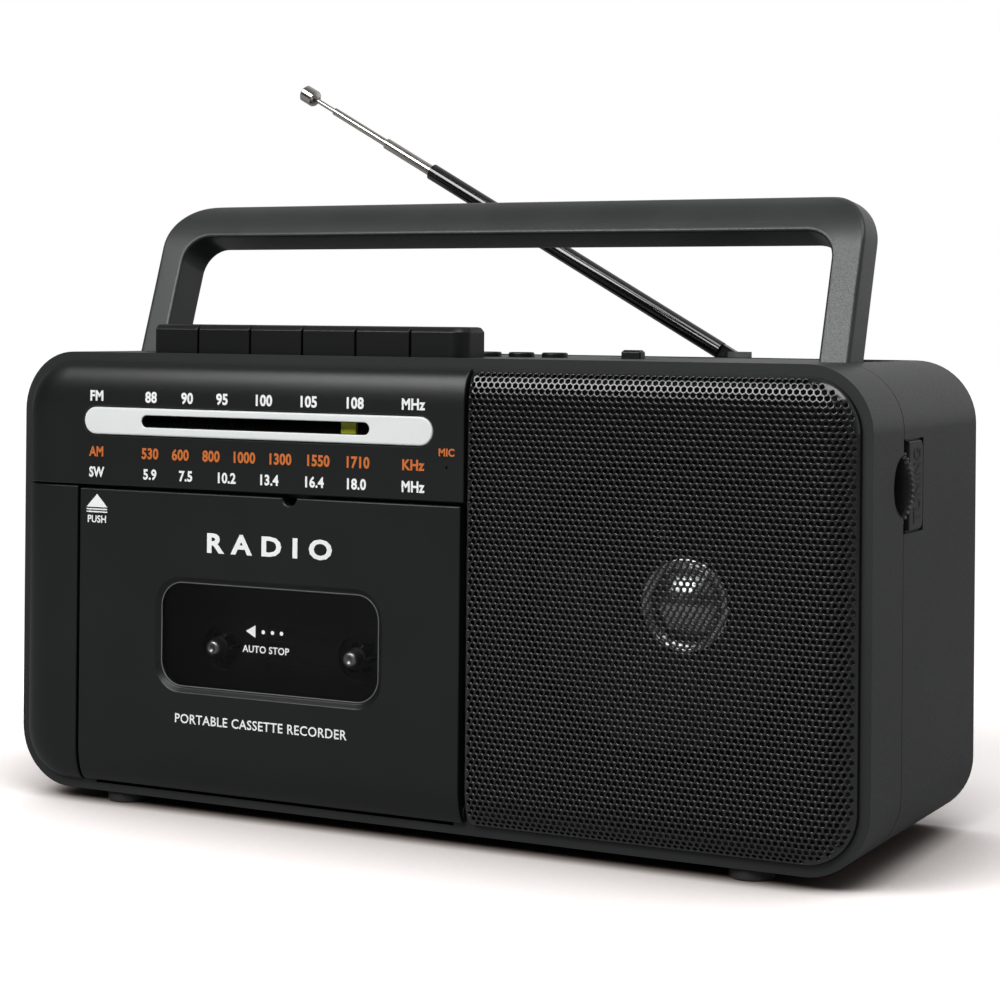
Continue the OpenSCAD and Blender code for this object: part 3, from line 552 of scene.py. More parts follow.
def dial_recess(shape):
    """Shallow seat of the silver strip with a through slot in its floor."""
    x0, x1 = window_low.x, window_high.x
    seat = shape.stack([
        at_depth(pill_points(x0, x1, strip_mid, STRIP_H, g), y)
        for g, y in ((0.55, 0), (0.36, 0.05), (0.22, 0.3), (0.2, 1.2))
    ])
    slot = shape.stack([
        at_depth(pill_points(slot_x0 - 0.6, slot_x1 + 0.6, dial_mid, SLOT_H + 1.2, 0), y)
        for y in (1.2, 2.5)
    ])
    shape.fill(seat[-1], slot[0])
    return seat[0], slot[-1]


MIC = (13.0, 91.0)


def mic_hole(shape):
    """Bore in front of the microphone."""
    made = shape.stack([
        round_ring(MIC[0], y, MIC[1], r, 16) for r, y in ((0.36, 0), (0.3, 0.1), (0.3, 2.5))
    ])
    return made[0], made[-1]


# Dial panel
shape = panel(
    "dial_panel", (0.3, 0.3, 0.3, PANEL_R), (True, False, False, True), flat_back, [dial_recess, mic_hole])[0]
finish_piece(shape, "dial_panel_skin", PANEL, "case", ["dial_panel"])

# Silver strip with its slot, and the dark lining of the slot
shape = Shape()
made = shape.stack([
    at_depth(pill_points(window_low.x, window_high.x, strip_mid, STRIP_H, g), y)
    for g, y in ((0, 1.2), (0, 0.5), (-0.08, 0.3), (-0.3, 0.16), (-0.55, 0.12))
])
inner = shape.stack([
    at_depth(pill_points(slot_x0, slot_x1, dial_mid, SLOT_H, g), y)
    for g, y in ((0.3, 0.12), (0.1, 0.16), (0.02, 0.3), (0, 1.2))
])
shape.fill(made[-1], inner[0])
shape.fill(made[0], inner[-1])
finish_piece(shape, "dial_strip", SILVER, "case", ["dial_window"], angle=50)

shape = Shape()
shape.stack([
    at_depth(pill_points(slot_x0, slot_x1, dial_mid, SLOT_H, g), y)
    for g, y in (
        (-0.02, 0.34), (-0.14, 0.38), (-0.14, 2.4), (0.4, 2.4), (0.4, 1.25), (-0.02, 1.2), (-0.02, 0.34))
])
finish_piece(shape, "dial_slot_lining", BLACK_AND_SHADE, "case", angle=50)

# Pointer: a bright blade in the slot on a dark carriage
low, high = case_box("dial_pointer")
mid = (low.x + high.x) / 2
blade, carriage = Shape(), Shape()
rounded_box(blade, (mid - 2.8, low.y, dial_mid - 2), (mid + 1.8, low.y + 1.2, dial_mid + 2), 0.3, up=1)
rounded_box(
    carriage, (mid - 1.2, low.y + 1.2, dial_mid - 1.6), (mid + 1.2, high.y - 1.9, dial_mid + 1.6), 0.2, up=1)
rounded_box(carriage, (low.x, high.y - 2, low.z), (high.x, high.y, high.z), 0.3, up=1)
finish_piece(blade, "pointer_blade", POINTER, "dial_pointer", ["dial_pointer"])
finish_piece(carriage, "pointer_carriage", BLACK_AND_SHADE, "dial_pointer")

# Side trim
shape = panel("side_trim", (PANEL_R, 0.3, 0.3, 0.3), (True, True, False, False), flat_back, [])[0]
finish_piece(shape, "side_trim_skin", PANEL, "case", ["side_trim"])

# Cassette door
glass_low, glass_high = case_box("door_window")
glass_box = (glass_low.x - 0.05, glass_low.z - 0.05, glass_high.x + 0.05, glass_high.z + 0.05)
GLASS_R = 6.5
LIP = 1.5


def door_opening(shape):
    """Window opening with a sloping lip all round."""
    steps = (
        (-LIP - 0.25, 0), (-LIP, 0.05), (-LIP + 0.2, 0.18), (-0.45, 0.95), (-0.3, 1.05), (0, 1.1), (0, 2.6))
    made = shape.stack([
        at_depth(outline(glass_box, (GLASS_R,) * 4, inset, arc=12), y) for inset, y in steps
    ])
    return made[0], made[-1]


def door_back(x, z):
    """Depth of the door's rear side, which follows the pillow."""
    return max(2.6, min(4.4, pillow(x, z) + 1.6))


shape, rear, backs = panel(
    "cassette_door", (0.3, 0.3, 0.3, 0.3), (False, True, False, False), door_back,
    [door_opening], trim=(0.4, 0, 0.5, 0.5))
door_low, door_high = case_box("cassette_door")
shape.fill(rear, backs[0])
bay_left, bay_right = case_box("cassette_well")
HINGE_Y, HINGE_Z = 5, 5.6
for x in (bay_left.x + 1.4, bay_right.x - 3.9):
    eye(shape, x, HINGE_Y, HINGE_Z, 1.15, 2.2, 0.3, 2.5, 24)
    rounded_box(shape, (x, 2.0, 3.8), (x + 2.5, 3.9, 7.4), 0.3)
rounded_box(shape, (door_low.x + 5, 2.2, 75), (door_low.x + 8.4, 6.4, 77), 0.3)
notch = Shape()
NOTCH_X = -32.7
lathe(notch, (NOTCH_X, 0, door_high.z - 0.5), (0, 1, 0),
      ((0, -1), (2.45, -1), (2.45, 0.02), (2.1, 0.3), (2.1, 6), (0, 6)))
shape.carve(notch)
finish_piece(shape, "cassette_door_skin", PANEL, "cassette_door", ["cassette_door"])

# Thin pale frame line round the window, on the clear plate
shape = Shape()
shape.stack([
    at_depth(outline(glass_box, (GLASS_R,) * 4, inset, arc=12), y)
    for inset, y in ((0.02, 1.15), (0.02, 1.0), (0.06, 0.96), (0.2, 0.96), (0.24, 1.0), (0.24, 1.15))
])
finish_piece(shape, "window_frame_line", INK_GREY, "cassette_door", angle=60)

# ---- Loudspeaker grille ----

PITCH = 1.645
# Radius of a hole at each depth under the sheet's face
HOLE_RINGS = ((0.80, 0.0), (0.67, 0.05), (0.60, 0.16), (0.59, 0.5))
grille_low, grille_high = case_box("speaker_grille")
grille_box = (grille_low.x, grille_low.z, grille_high.x, grille_high.z)
GRILLE_RADII = (3.0, PANEL_R, PANEL_R, 3.0)
SIDE_ROLL = 1.6


def grille_depth(x, z):
    """Depth of the sheet, which also rolls back at its left edge."""
    roll = max(0, SIDE_ROLL - (x - grille_box[0])) / SIDE_ROLL
    return min(4.4, pillow(x, z) + SIDE_ROLL * 0.8 * (1 - math.sqrt(1 - min(1, roll) ** 2)))


def arc_table(width, depth, count=200):
    """Distance along the curved border against distance across it."""
    table, total, last = [(0.0, 0.0)], 0.0, (0.0, 0.0)
    for k in range(1, count + 1):
        a = math.pi / 2 * k / count
        point = (width * math.sin(a), depth * (1 - math.cos(a)))
        total += math.hypot(point[0] - last[0], point[1] - last[1])
        table.append((total, point[0]))
        last = point
    return table


ARC = arc_table(PILLOW_W, PILLOW_D)


def across(distance):
    """Turns a distance along the curved border into one across it."""
    for (s0, w0), (s1, w1) in zip(ARC, ARC[1:]):
        if distance <= s1:
            return w0 + (w1 - w0) * (distance - s0) / (s1 - s0)
    return PILLOW_W + distance


def unbend(value, flat_low, flat_high):
    """Turns a place on the unrolled sheet into one seen from the front."""
    if value > flat_high:
        return flat_high + across(value - flat_high)
    if flat_low is not None and value < flat_low:
        return flat_low - across(flat_low - value)
    return value


def inside_outline(x, z, box, radii, margin):
    """Whether a point lies inside a rectangle with round corners, by a margin."""
    x0, z0, x1, z1 = (box[0] + margin, box[1] + margin, box[2] - margin, box[3] - margin)
    if not (x0 < x < x1 and z0 < z < z1):
        return False
    for cx, cz, sx, sz, r in ((x0, z0, 1, 1, radii[0]), (x1, z0, -1, 1, radii[1]),
                              (x1, z1, -1, -1, radii[2]), (x0, z1, 1, -1, radii[3])):
        r = max(r - margin, 0.01)
        dx, dz = (cx + sx * r - x) * sx, (cz + sz * r - z) * sz
        if dx > 0 and dz > 0 and math.hypot(dx, dz) > r:
            return False
    return True


def grille_normal(x, z):
    slope_x = (grille_depth(x + 0.05, z) - grille_depth(x - 0.05, z)) / 0.1
    slope_z = (grille_depth(x, z + 0.05) - grille_depth(x, z - 0.05)) / 0.1
    return Vector((-slope_x, 1, -slope_z)).normalized()


def build_grille():
    """Punched sheet: six-sided holes with rounded rims in a staggered pattern that follows the border."""
    shape = Shape()
    bm = shape.bm
    row = PITCH * math.sqrt(3) / 2
    flat_x1 = grille_box[2] - PILLOW_W
    flat_z0, flat_z1 = grille_box[1] + PILLOW_W, grille_box[3] - PILLOW_W
    mid_x, mid_z = (grille_box[0] + grille_box[2]) / 2, (grille_box[1] + grille_box[3]) / 2
    rows = int((grille_box[3] - grille_box[1]) / 2 / row) + 6
    columns = int((grille_box[2] - grille_box[0]) / 2 / PITCH) + 6
    angles = [math.radians(30 + 60 * k) for k in range(6)]
    holes = {}

    def at(s, t, deep):
        x, z = unbend(s, None, flat_x1), unbend(t, flat_z0, flat_z1)
        return Vector((x, grille_depth(x, z), z)) + grille_normal(x, z) * deep

    for j in range(-rows, rows + 1):
        for i in range(-columns, columns + 1):
            s, t = mid_x + (i + (j % 2) / 2) * PITCH, mid_z + j * row
            if s > grille_box[2] + 3 or not grille_box[1] - 3 < t < grille_box[3] + 3:
                continue
            centre = at(s, t, 0)
            if inside_outline(centre.x, centre.z, grille_box, GRILLE_RADII, 1.15):
                rings = [
                    [bm.verts.new(at(s + r * math.cos(a), t + r * math.sin(a), deep)) for a in angles]
                    for r, deep in HOLE_RINGS
                ]
                for outer, inner in zip(rings, rings[1:]):
                    shape.bridge(outer, inner)
                holes[i, j] = rings[0]

    def neighbour(i, j, k):
        """Neighbours anticlockwise from the right."""
        shift = j % 2
        return ((i + 1, j), (i + shift, j + 1), (i + shift - 1, j + 1), (i - 1, j),
                (i + shift - 1, j - 1), (i + shift, j - 1))[k]

    open_edges = {frozenset((a, b)) for ring in holes.values() for a, b in zip(ring, ring[1:] + ring[:1])}

    def face(*corners):
        bm.faces.new(corners)
        for a, b in zip(corners, corners[1:] + corners[:1]):
            open_edges.symmetric_difference_update([frozenset((a, b))])

    for (i, j), ring in holes.items():
        for k in range(3):
            other = holes.get(neighbour(i, j, k))
            if other:
                face(ring[(k - 1) % 6], other[(k + 3) % 6], other[(k + 2) % 6], ring[k % 6])
        for k in (0, 1):
            one, two = holes.get(neighbour(i, j, k)), holes.get(neighbour(i, j, k + 1))
            if one and two:
                face(ring[k], one[(k + 2) % 6], two[(k + 4) % 6])
    border = []
    for inset in (0.0, 0.12, 0.3, 0.55):
        points = outline(grille_box, GRILLE_RADII, inset, arc=24, ends=[1.6 * k for k in range(1, 36)])
        drop, deepest = edge_round(inset, 0.3), PANEL_BACK - 0.05
        border.append(shape.ring([(x, min(grille_depth(x, z) + drop, deepest), z) for x, z in points]))
    for a, b in zip(border, border[1:]):
        shape.bridge(a, b)
    shape.bridge(shape.ring([(v.co.x, PANEL_BACK, v.co.z) for v in border[0]]), border[0])
    inner = border[-1]
    open_edges |= {frozenset((a, b)) for a, b in zip(inner, inner[1:] + inner[:1])}
    # The strip between the outermost holes and the border is filled flat, then bent back
    bm.verts.index_update()
    bm.verts.ensure_lookup_table()
    pairs = [[bm.verts[i] for i in ends] for ends in sorted(sorted(v.index for v in e) for e in open_edges)]
    depth = {v: v.co.y for pair in pairs for v in pair}
    for v in depth:
        v.co.y = 0
    edges = [bm.edges.get(pair) or bm.edges.new(pair) for pair in pairs]
    bmesh.ops.triangle_fill(bm, use_beauty=True, use_dissolve=False, edges=edges)
    for v, y in depth.items():
        v.co.y = y
    return shape


finish_piece(build_grille(), "speaker_grille_sheet", GRILLE, "case", ["speaker_grille"],
             angle=50, weighted=False)

# ---- Case ----

CASE_R = 16
CASE_DEPTH = 88
case_box_xz = (-shell_high.x, 0, shell_high.x, shell_high.z)


def on_border(depth, margin):
    """Test for edges that run round the case's outside at a depth."""
    def chosen(edge):
        return all(
            abs(v.co.y - depth) < 0.01
            and not inside_outline(v.co.x, v.co.z, case_box_xz, (CASE_R,) * 4, margin)
            for v in edge.verts)
    return chosen


def on_back(edge):
    """Test for edges of the back wall's outer face, except those of the holes in its corners."""
    return all(
        abs(v.co.y - CASE_DEPTH) < 0.01 and math.hypot(
            abs(v.co.x) - (shell_high.x - CASE_R), min(v.co.z, shell_high.z - v.co.z) - CASE_R) > CASE_R - 0.1
        for v in edge.verts)


front_edge = on_border(shell_low.y, 0.3)
seam = on_border(shell_high.y, 0.1)

softened("front_shell", 0.12, CASE, extra=((1.3, front_edge), (0.35, seam)))
softened("rear_shell", 0.12, CASE, extra=((1.3, on_back), (0.35, seam)))
softened("battery_door", 0.3, CASE)

# Finger ribs near both ends of the battery lid
low, high = case_box("battery_door")
shape = Shape()
for side in (-1, 1):
    x = (low.x + high.x) / 2 + side * 62
    for k in range(6):
        z = high.z - 6 - 2.2 * k
        rounded_box(shape, (x - 9, high.y - 0.6, z - 0.5), (x + 9, high.y + 0.35, z + 0.5), 0.3, up=1)
finish_piece(shape, "battery_lid_ribs", CASE, "battery_door")

# Label plates behind the thumb wheels
plate_low, plate_high = case_box("wheel_plates")
shape, letters = Shape(), Shape()
for side, word in ((1, "TUNING"), (-1, "VOLUME")):
    outer_x = side * (shell_high.x + 0.15)
    box = (plate_low.y + 0.1, plate_low.z + 0.45, plate_high.y - 0.5, plate_high.z - 0.45)
    shape.stack([
        [(outer_x - side * deep, y, z) for y, z in outline(box, (0.4, 2.2, 2.2, 0.4), inset, arc=6)]
        for inset, deep in ((0, 0.95), (0, 0.3), (0.1, 0.08), (0.3, 0))
    ], start=True, end=True)
    turn = Matrix(((0, 0, side, outer_x), (0, -side, 0, (plate_low.y + plate_high.y) / 2 + 0.1),
                   (1, 0, 0, (plate_low.z + plate_high.z) / 2), (0, 0, 0, 1)))
    lettering(letters, word, 0, 0, 5.4, squeeze=0.62, bold=0.02, rise=0.12, turn=turn)
finish_piece(shape, "wheel_plate_pair", CASE, "case", ["wheel_plates"], angle=50)
# The raised words are painted darker than the case, for the shade round them.
plain_piece(letters, "wheel_words", EMBOSS_SHADE, "case", weighted=False)

softened("feet", 0.5, RUBBER, segments=3)

# ---- Handle ----

# Lengths count from the pivot: up along the legs (s) and back through the handle (t)
HANDLE_LEAN = math.radians(19.1)
HANDLE_PIVOT = (36.2, 113.6)
HANDLE_HALF = 104.85
LEG_W = 8.0
BAR_TOP, BAR_LOW = 50.2, 38.1
T_FRONT, T_BACK = -3.24, 8.96
# The front face rolls back by ROLL_T over the uppermost ROLL_S
ROLL_T, ROLL_S = 9.06, 16.5


def from_handle(x, s, t):
    """From the handle's own directions (across, along the legs, back through it) to the case frame."""
    sin, cos = math.sin(HANDLE_LEAN), math.cos(HANDLE_LEAN)
    return x, HANDLE_PIVOT[0] + s * sin + t * cos, HANDLE_PIVOT[1] + s * cos - t * sin


def handle_front(s):
    """Depth of the front face, which rolls back towards the top."""
    q = min(1, max(0, (s - BAR_TOP + ROLL_S) / ROLL_S))
    return T_FRONT + ROLL_T * (1 - math.sqrt(1 - q * q))


def handle_path(half, top, radius):
    """Points up the right leg, round the corners and down the left leg."""
    right = [(half, s) for s in (0, 6, 12, 18, 23)]
    right += [
        (half - radius + radius * math.cos(a), top - radius + radius * math.sin(a))
        for a in (math.pi / 2 * k / 16 for k in range(17))
    ]
    right += [(half * f, top) for f in (0.6, 0.3, 0)]
    return right + [(-x, s) for x, s in reversed(right[:-1])]


def build_handle():
    """Grip bar and legs: one closed section, run along the path and rounded off at both feet."""
    shape = Shape()
    outer = handle_path(HANDLE_HALF, BAR_TOP, 14.66)
    outer_back = handle_path(HANDLE_HALF, BAR_TOP, 12.0)
    inner = handle_path(HANDLE_HALF - LEG_W, BAR_LOW, 7.5)
    angles = [math.radians(90 - 74 * k / 14) for k in range(15)]
    marks = [ROLL_S * (1 - math.sin(a)) / (BAR_TOP - BAR_LOW) for a in angles]
    rings = []
    whole = None
    foot_r = -T_FRONT
    ends = [(-foot_r * math.sin(a), foot_r * (1 - math.cos(a))) for a in map(math.radians, (80, 60, 40, 20))]
    stations = [(0, s, cut) for s, cut in ends] + [(i, None, 0) for i in range(len(outer))]
    stations += [(len(outer) - 1, s, cut) for s, cut in reversed(ends)]
    for index, end_s, cut in stations:
        lead, back_lead, tail = (Vector(p[index]) for p in (outer, outer_back, inner))
        if end_s is not None:
            for point in (lead, back_lead, tail):
                point.y = end_s
        side = abs((tail - lead).normalized().x)
        ring = []
        span = (tail - lead).length
        near = [0, 0.08, 0.25, 0.5, 0.8, 1.1]
        front = sorted({min(d, span / 2) for d in near} | {span - d for d in near}
                       | {m * span for m in marks if 1.3 < m * span < span - 1.3})
        whole = whole or len(front)
        if len(front) != whole:
            middle = [1.3 + (span - 2.6) * k / (whole - 13) for k in range(whole - 12)]
            front = sorted(near) + middle + sorted(span - d for d in near)
        for d in front:
            p = lead.lerp(tail, d / span)
            t = handle_front(p.y) + edge_round(d, 1.1) * side + edge_round(span - d, 0.8)
            ring.append((p, t))
        ring.append((tail, 3.0))
        back = [span - d for d in (0, 0.1, 0.4, 0.9, 1.4)] + [span / 2] + [2.6, 1.7, 0.8, 0.2, 0]
        for d in back:
            p = back_lead.lerp(tail, d / span)
            ring.append((p, T_BACK - edge_round(d, 2.6) - edge_round(span - d, 1.4)))
        rings.append([
            from_handle(p.x, p.y, min(max(t, T_FRONT + cut), T_BACK - cut)) for p, t in ring
        ])
    shape.stack(rings, start=True, end=True)
    return shape


finish_piece(build_handle(), "handle_grip", HANDLE, "handle", ["handle"], angle=50)

# ---- Keys, buttons and knobs ----

# Piano keys: a cap in front, an arm and an eye on the shaft
KEYS = ("key_pause", "key_stop", "key_forward", "key_rewind", "key_play", "key_record")
KEY_BACK = 20.6
SHAFT_Y, SHAFT_Z = 46, 113
for key in KEYS:
    low, high = case_box(key)
    shape = Shape()
    last = key == KEYS[-1]
    radii = (0.35, 4.5 if last else 0.35, 0.35, 0.35)
    grow = (0.25, 1, 0.8 if last else 0.25, 0.5)
    box = (low.x, low.y, high.x, KEY_BACK)
    rings = [[(x, y, low.z + 2.2) for x, y in outline(box, radii, 0, arc=10)]]
    for inset, drop in ((0, 1.5), (0.06, 1.25), (0.75, 0.45), (1.0, 0.25), (1.4, 0.1), (2.0, 0)):
        rings.append([(x, y, high.z - drop) for x, y in outline(box, radii, inset, arc=10, grow=grow)])
    shape.stack(rings, start=True, end=True)
    arm_x = low.x + 0.1
    rounded_box(shape, (arm_x, 14, low.z), (arm_x + 3.8, SHAFT_Y, low.z + 3.2), 0.3)
    eye(shape, arm_x, SHAFT_Y, SHAFT_Z, 1.55, 2.5, 0.2, 3.8, 32)
    finish_piece(shape, key + "_cap", KEY, key, [key])

# Round buttons with a dished top
for button in ("button_previous", "button_play", "button_next"):
    low, high = case_box(button)
    mid = (low + high) / 2
    r = (high.x - low.x) / 2
    shape = Shape()
    top = high.z - low.z
    lathe(shape, (mid.x, mid.y, low.z), (0, 0, 1), (
        (r, 0), (r, 1.2), (r - 0.5, 1.3), (r - 0.5, top - 0.5), (r - 0.56, top - 0.25),
        (r - 0.75, top - 0.06), (r - 1.0, top), (r - 1.6, top - 0.04), (r - 2.6, top - 0.16),
        (0.4, top - 0.22)))
    finish_piece(shape, button + "_cap", KEY, button, [button])

# Slide knobs with finger ribs
low, high = case_box("function_knob")
shape = Shape()
rounded_box(shape, low, high, 0.5)
for k in range(-2, 3):
    x = (low.x + high.x) / 2 + k * 0.95
    rounded_box(shape, (x - 0.22, low.y + 0.25, high.z - 0.4), (x + 0.22, high.y - 0.25, high.z + 0.25), 0.15)
finish_piece(shape, "function_knob_cap", KEY, "function_knob", ["function_knob"])

low, high = case_box("band_knob")
shape = Shape()
rounded_box(shape, low, high, 0.5, up=0)
for k in range(-2, 3):
    y = (low.y + high.y) / 2 + k * 0.9
    rounded_box(
        shape, (low.x - 0.25, y - 0.22, low.z + 0.3), (low.x + 0.4, y + 0.22, high.z - 0.3), 0.15, up=0)
finish_piece(shape, "band_knob_cap", KEY, "band_knob", ["band_knob"])

# Knurled thumb wheels
TEETH = 72
for wheel in ("tuning_wheel", "volume_wheel"):
    low, high = case_box(wheel)
    cx, cz = (low.x + high.x) / 2, (low.z + high.z) / 2
    r = (high.x - low.x) / 2
    shape = Shape()
    profile = ((r - 3.2, 0), (r - 2.6, 0.02), (r - 0.9, 0.1), (r - 0.25, 0.45), (r - 0.02, 1.0),
               (r - 0.02, 2.0), (r - 0.25, 2.55), (r - 0.9, 2.9), (r - 2.6, 2.98), (r - 3.2, 3.0))
    rings = []
    for radius, y in profile:
        deep = 0.42 if r - radius < 0.8 else 0
        reach = [radius - deep * (k % 4 in (2, 3)) for k in range(TEETH * 4)]
        rings.append([(cx + q * c, low.y + y, cz + q * s) for q, (c, s) in zip(reach, circle(TEETH * 4))])
    shape.stack(rings, start=True)
    shape.stack([
        round_ring(cx, low.y + y, cz, q, TEETH * 4)
        for q, y in ((r - 3.2, 3.0), (4.5, 3.0), (4.5, 5.8), (4.3, 6.0), (2.55, 6.0), (2.55, 2.0))
    ], end=True)
    finish_piece(shape, wheel + "_rim", WHEEL, wheel, [wheel])

# ---- Lettering and marks ----

# Dial scales
white, orange = Shape(), Shape()
lettering(white, "FM", -93.7, 106.5, 2.75, squeeze=0.95)
lettering(white, "MHz", 3.4, 106.5, 2.8, squeeze=0.88)
for text, x in (("88", -76.0), ("90", -64.5), ("95", -53.5), ("100", -40.9), ("105", -27.3), ("108", -13.6)):
    lettering(white, text, x, 106.4, 2.85)
lettering(white, "SW", -93.6, 86.1, 2.7, squeeze=0.86)
lettering(white, "MHz", 3.5, 86.0, 2.75, squeeze=0.88)
for text, x in (("5.9", -76.2), ("7.5", -64.7), ("10.2", -52.1), ("13.4", -39.0), ("16.4", -25.4),
                ("18.0", -13.0)):
    lettering(white, text, x, 86.0, 2.7)
lettering(orange, "AM", -93.6, 91.6, 2.65, squeeze=0.87)
lettering(orange, "KHz", 3.5, 91.4, 2.65, squeeze=0.94)
for text, x in (("530", -76.2), ("600", -66.5), ("800", -56.8), ("1000", -46.7), ("1300", -35.7),
                ("1550", -24.3), ("1710", -12.6)):
    lettering(orange, text, x, 91.5, 2.85, squeeze=0.90)
lettering(orange, "MIC", 13.0, 94.8, 1.9, squeeze=0.98)
plain_piece(white, "dial_numbers_white", INK_WHITE, "case", weighted=False)
plain_piece(orange, "dial_numbers_orange", INK_ORANGE, "case", weighted=False)

# Door and window
door = Shape()
lettering(door, "PORTABLE CASSETTE RECORDER", -41.3, 22.6, 2.5, squeeze=0.98, bold=0.012, spacing=1.06)
lettering(door, "RADIO", -38.9, 69.0, 5.0, squeeze=1.25, bold=0.035, spacing=1.7)
lettering(door, "PUSH", -93.3, 73.5, 1.95, squeeze=0.95, bold=0.02)


def flat_mark(shape, points, y):
    """Printed mark with an outline of its own."""
    shape.stack([at_depth(points, y + d) for d in (0, -0.04)], end=True)


flat_mark(door, ((-96.7, 76.6), (-89.9, 76.6), (-93.3, 80.1)), 0)
for z in (76.05, 75.35):
    flat_mark(door, ((-96.7, z - 0.17), (-89.9, z - 0.17), (-89.9, z + 0.17), (-96.7, z + 0.17)), 0)
plain_piece(door, "door_marks", INK_WHITE, "cassette_door", weighted=False)

GLASS_Y = 1.18
MARK_Z = 46.6
glass = Shape()
lettering(glass, "AUTO STOP", -40.1, 42.1, 1.85, squeeze=0.99, bold=0.015, y=GLASS_Y)
flat_mark(glass, ((-43.3, 48.2), (-43.3, 45.0), (-46.2, MARK_Z)), GLASS_Y)
for x in (-40.9, -38.1, -35.35):
    flat_mark(glass, [(x + 0.52 * c, MARK_Z + 0.52 * s) for c, s in circle(18)], GLASS_Y)
plain_piece(glass, "window_marks", INK_WHITE, "cassette_door", weighted=False)

# ---- Black sheet behind the grille, painted shade seen through its holes, and the dust cap ----

low, high = case_box("speaker_dust_cap")
cap_x, cap_z = (low.x + high.x) / 2, (low.z + high.z) / 2
# Painted shade: a near-black sheet just in front of the baffle, with a hole for the dust cap, for the dark
# seen through the grille.
shade_sheet_box = (grille_low.x + 1, grille_low.z + 3.5, grille_high.x - 3.5, grille_high.z - 3.5)
shape = Shape()
border = shape.stack([
    at_depth(outline(shade_sheet_box, (3, 10, 10, 3), inset), y) for inset, y in ((0, 4.45), (0, 4.3), (0.15, 4.15))
])
hole = shape.stack([
    round_ring(cap_x, y, cap_z, r, 72) for r, y in ((36.9, 4.15), (36.75, 4.3), (36.75, 4.45))
])
shape.fill(border[-1], hole[0])
shape.fill(border[0], hole[-1])
finish_piece(shape, "grille_shade_sheet", BLACK_AND_SHADE, "case")

# Dust cap: a part of a ball with a bead round its rim
BALL_R = 13.5
BEAD_R = 0.75
dome = [(BALL_R * math.sin(a), low.y + BALL_R - BALL_R * math.cos(a))
        for a in map(math.radians, range(0, 49, 3))]
rim_y = dome[-1][1]
bead = [(10.95 + BEAD_R * math.cos(a), rim_y - 0.1 - BEAD_R * math.sin(a))
        for a in map(math.radians, range(150, -61, -30))]
shape = Shape()
lathe(shape, (cap_x, 0, cap_z), (0, 1, 0), dome + bead + [(10, rim_y + 0.7), (0, low.y + 0.6)], count=96)
finish_piece(shape, "dust_cap_dome", DOME, "case", ["speaker_dust_cap"], angle=60)

# ---- Cassette spindles ----

for spindle in ("supply_spindle", "takeup_spindle"):
    low, high = case_box(spindle)
    cx, cz = (low.x + high.x) / 2, (low.z + high.z) / 2
    hub, tip = Shape(), Shape()
    lathe(hub, (cx, 0, cz), (0, 1, 0), (
        (0, 14.2), (2.6, 14.2), (2.9, 14.35), (3, 14.7), (3, 18.2), (10.6, 18.2), (11, 18.5), (11, 19.9),
        (10.6, 20.2), (1.5, 20.2), (1.5, 25.4), (0, 25.4)), count=60)
    # six splines that grip the cassette's hub
    for k in range(6):
        spin = Matrix.Rotation(math.radians(60 * k), 4, "Y")
        rings = []
        for y, reach, half in ((14.3, 3.4, 0.2), (14.7, 4.1, 0.38), (15.3, 4.3, 0.45), (18.25, 4.3, 0.45)):
            corners = ((2.6, -half), (reach - 0.15, -half), (reach, -half + 0.15), (reach, half - 0.15),
                       (reach - 0.15, half), (2.6, half))
            rings.append([Vector((cx, y, cz)) + spin @ Vector((p, 0, q)) for p, q in corners])
        hub.stack(rings, start=True, end=True)
    finish_piece(hub, spindle + "_hub", HUB, spindle, [spindle])
    lathe(tip, (cx, 0, cz), (0, 1, 0), (
        (0, 11.4), (0.5, 11.35), (0.75, 11.12), (1.0, 11.01), (1.3, 11), (1.7, 11.12), (2.1, 11.5),
        (2.3, 12.1), (2.35, 12.8), (2.35, 14.5), (0, 14.5)), count=48)
    finish_piece(tip, spindle + "_tip", TIP, spindle, angle=60)

# ---- CAD nodes that stay ----

# Material of each CAD node that is shown as it is
STAY = {
    "dial_lens": CLEAR, "door_window": SMOKE,
    "speaker_frame": BLACK_AND_SHADE, "speaker_magnet": FERRITE, "speaker_cone": PAPER,
    "cassette_well": WELL, "deck_chassis": STEEL, "motor": STEEL, "drive_belt": RUBBER, "key_shaft": STEEL,
    "key_springs": STEEL, "main_board": BOARD, "transformer": CORE, "ferrite_rod": FERRITE,
    "tuning_capacitor": PART, "volume_pot": PART, "ac_inlet": SOCKET, "phone_jack": SOCKET,
    "battery_contacts": STEEL, "microphone": PART, "case_screws": STEEL, "hinge_pins": STEEL,
    "switch_board": BOARD, "cassette_holder": WELL,
    "capstan_flywheel": BRASS, "motor_pulley": BRASS, "head_bridge": STEEL, "antenna_swivel": KNUCKLE,
    "antenna_tube_1": LACQUER, "antenna_tube_2": CHROME, "antenna_tube_3": CHROME, "antenna_rod": CHROME,
}
for name, material in STAY.items():
    node = nodes[name]
    node.data.materials.clear()
    node.data.materials.append(material)

# ---- Floor, light and camera ----


def area_light(name, place, target, size, power):
    light = bpy.data.lights.new(name, "AREA")
    light.shape = "RECTANGLE"
    light.size, light.size_y = size
    light.energy = power
    lamp = new_object(name, light)
    lamp.location = place
    lamp.rotation_euler = (Vector(target) - Vector(place)).to_track_quat("-Z", "Y").to_euler()


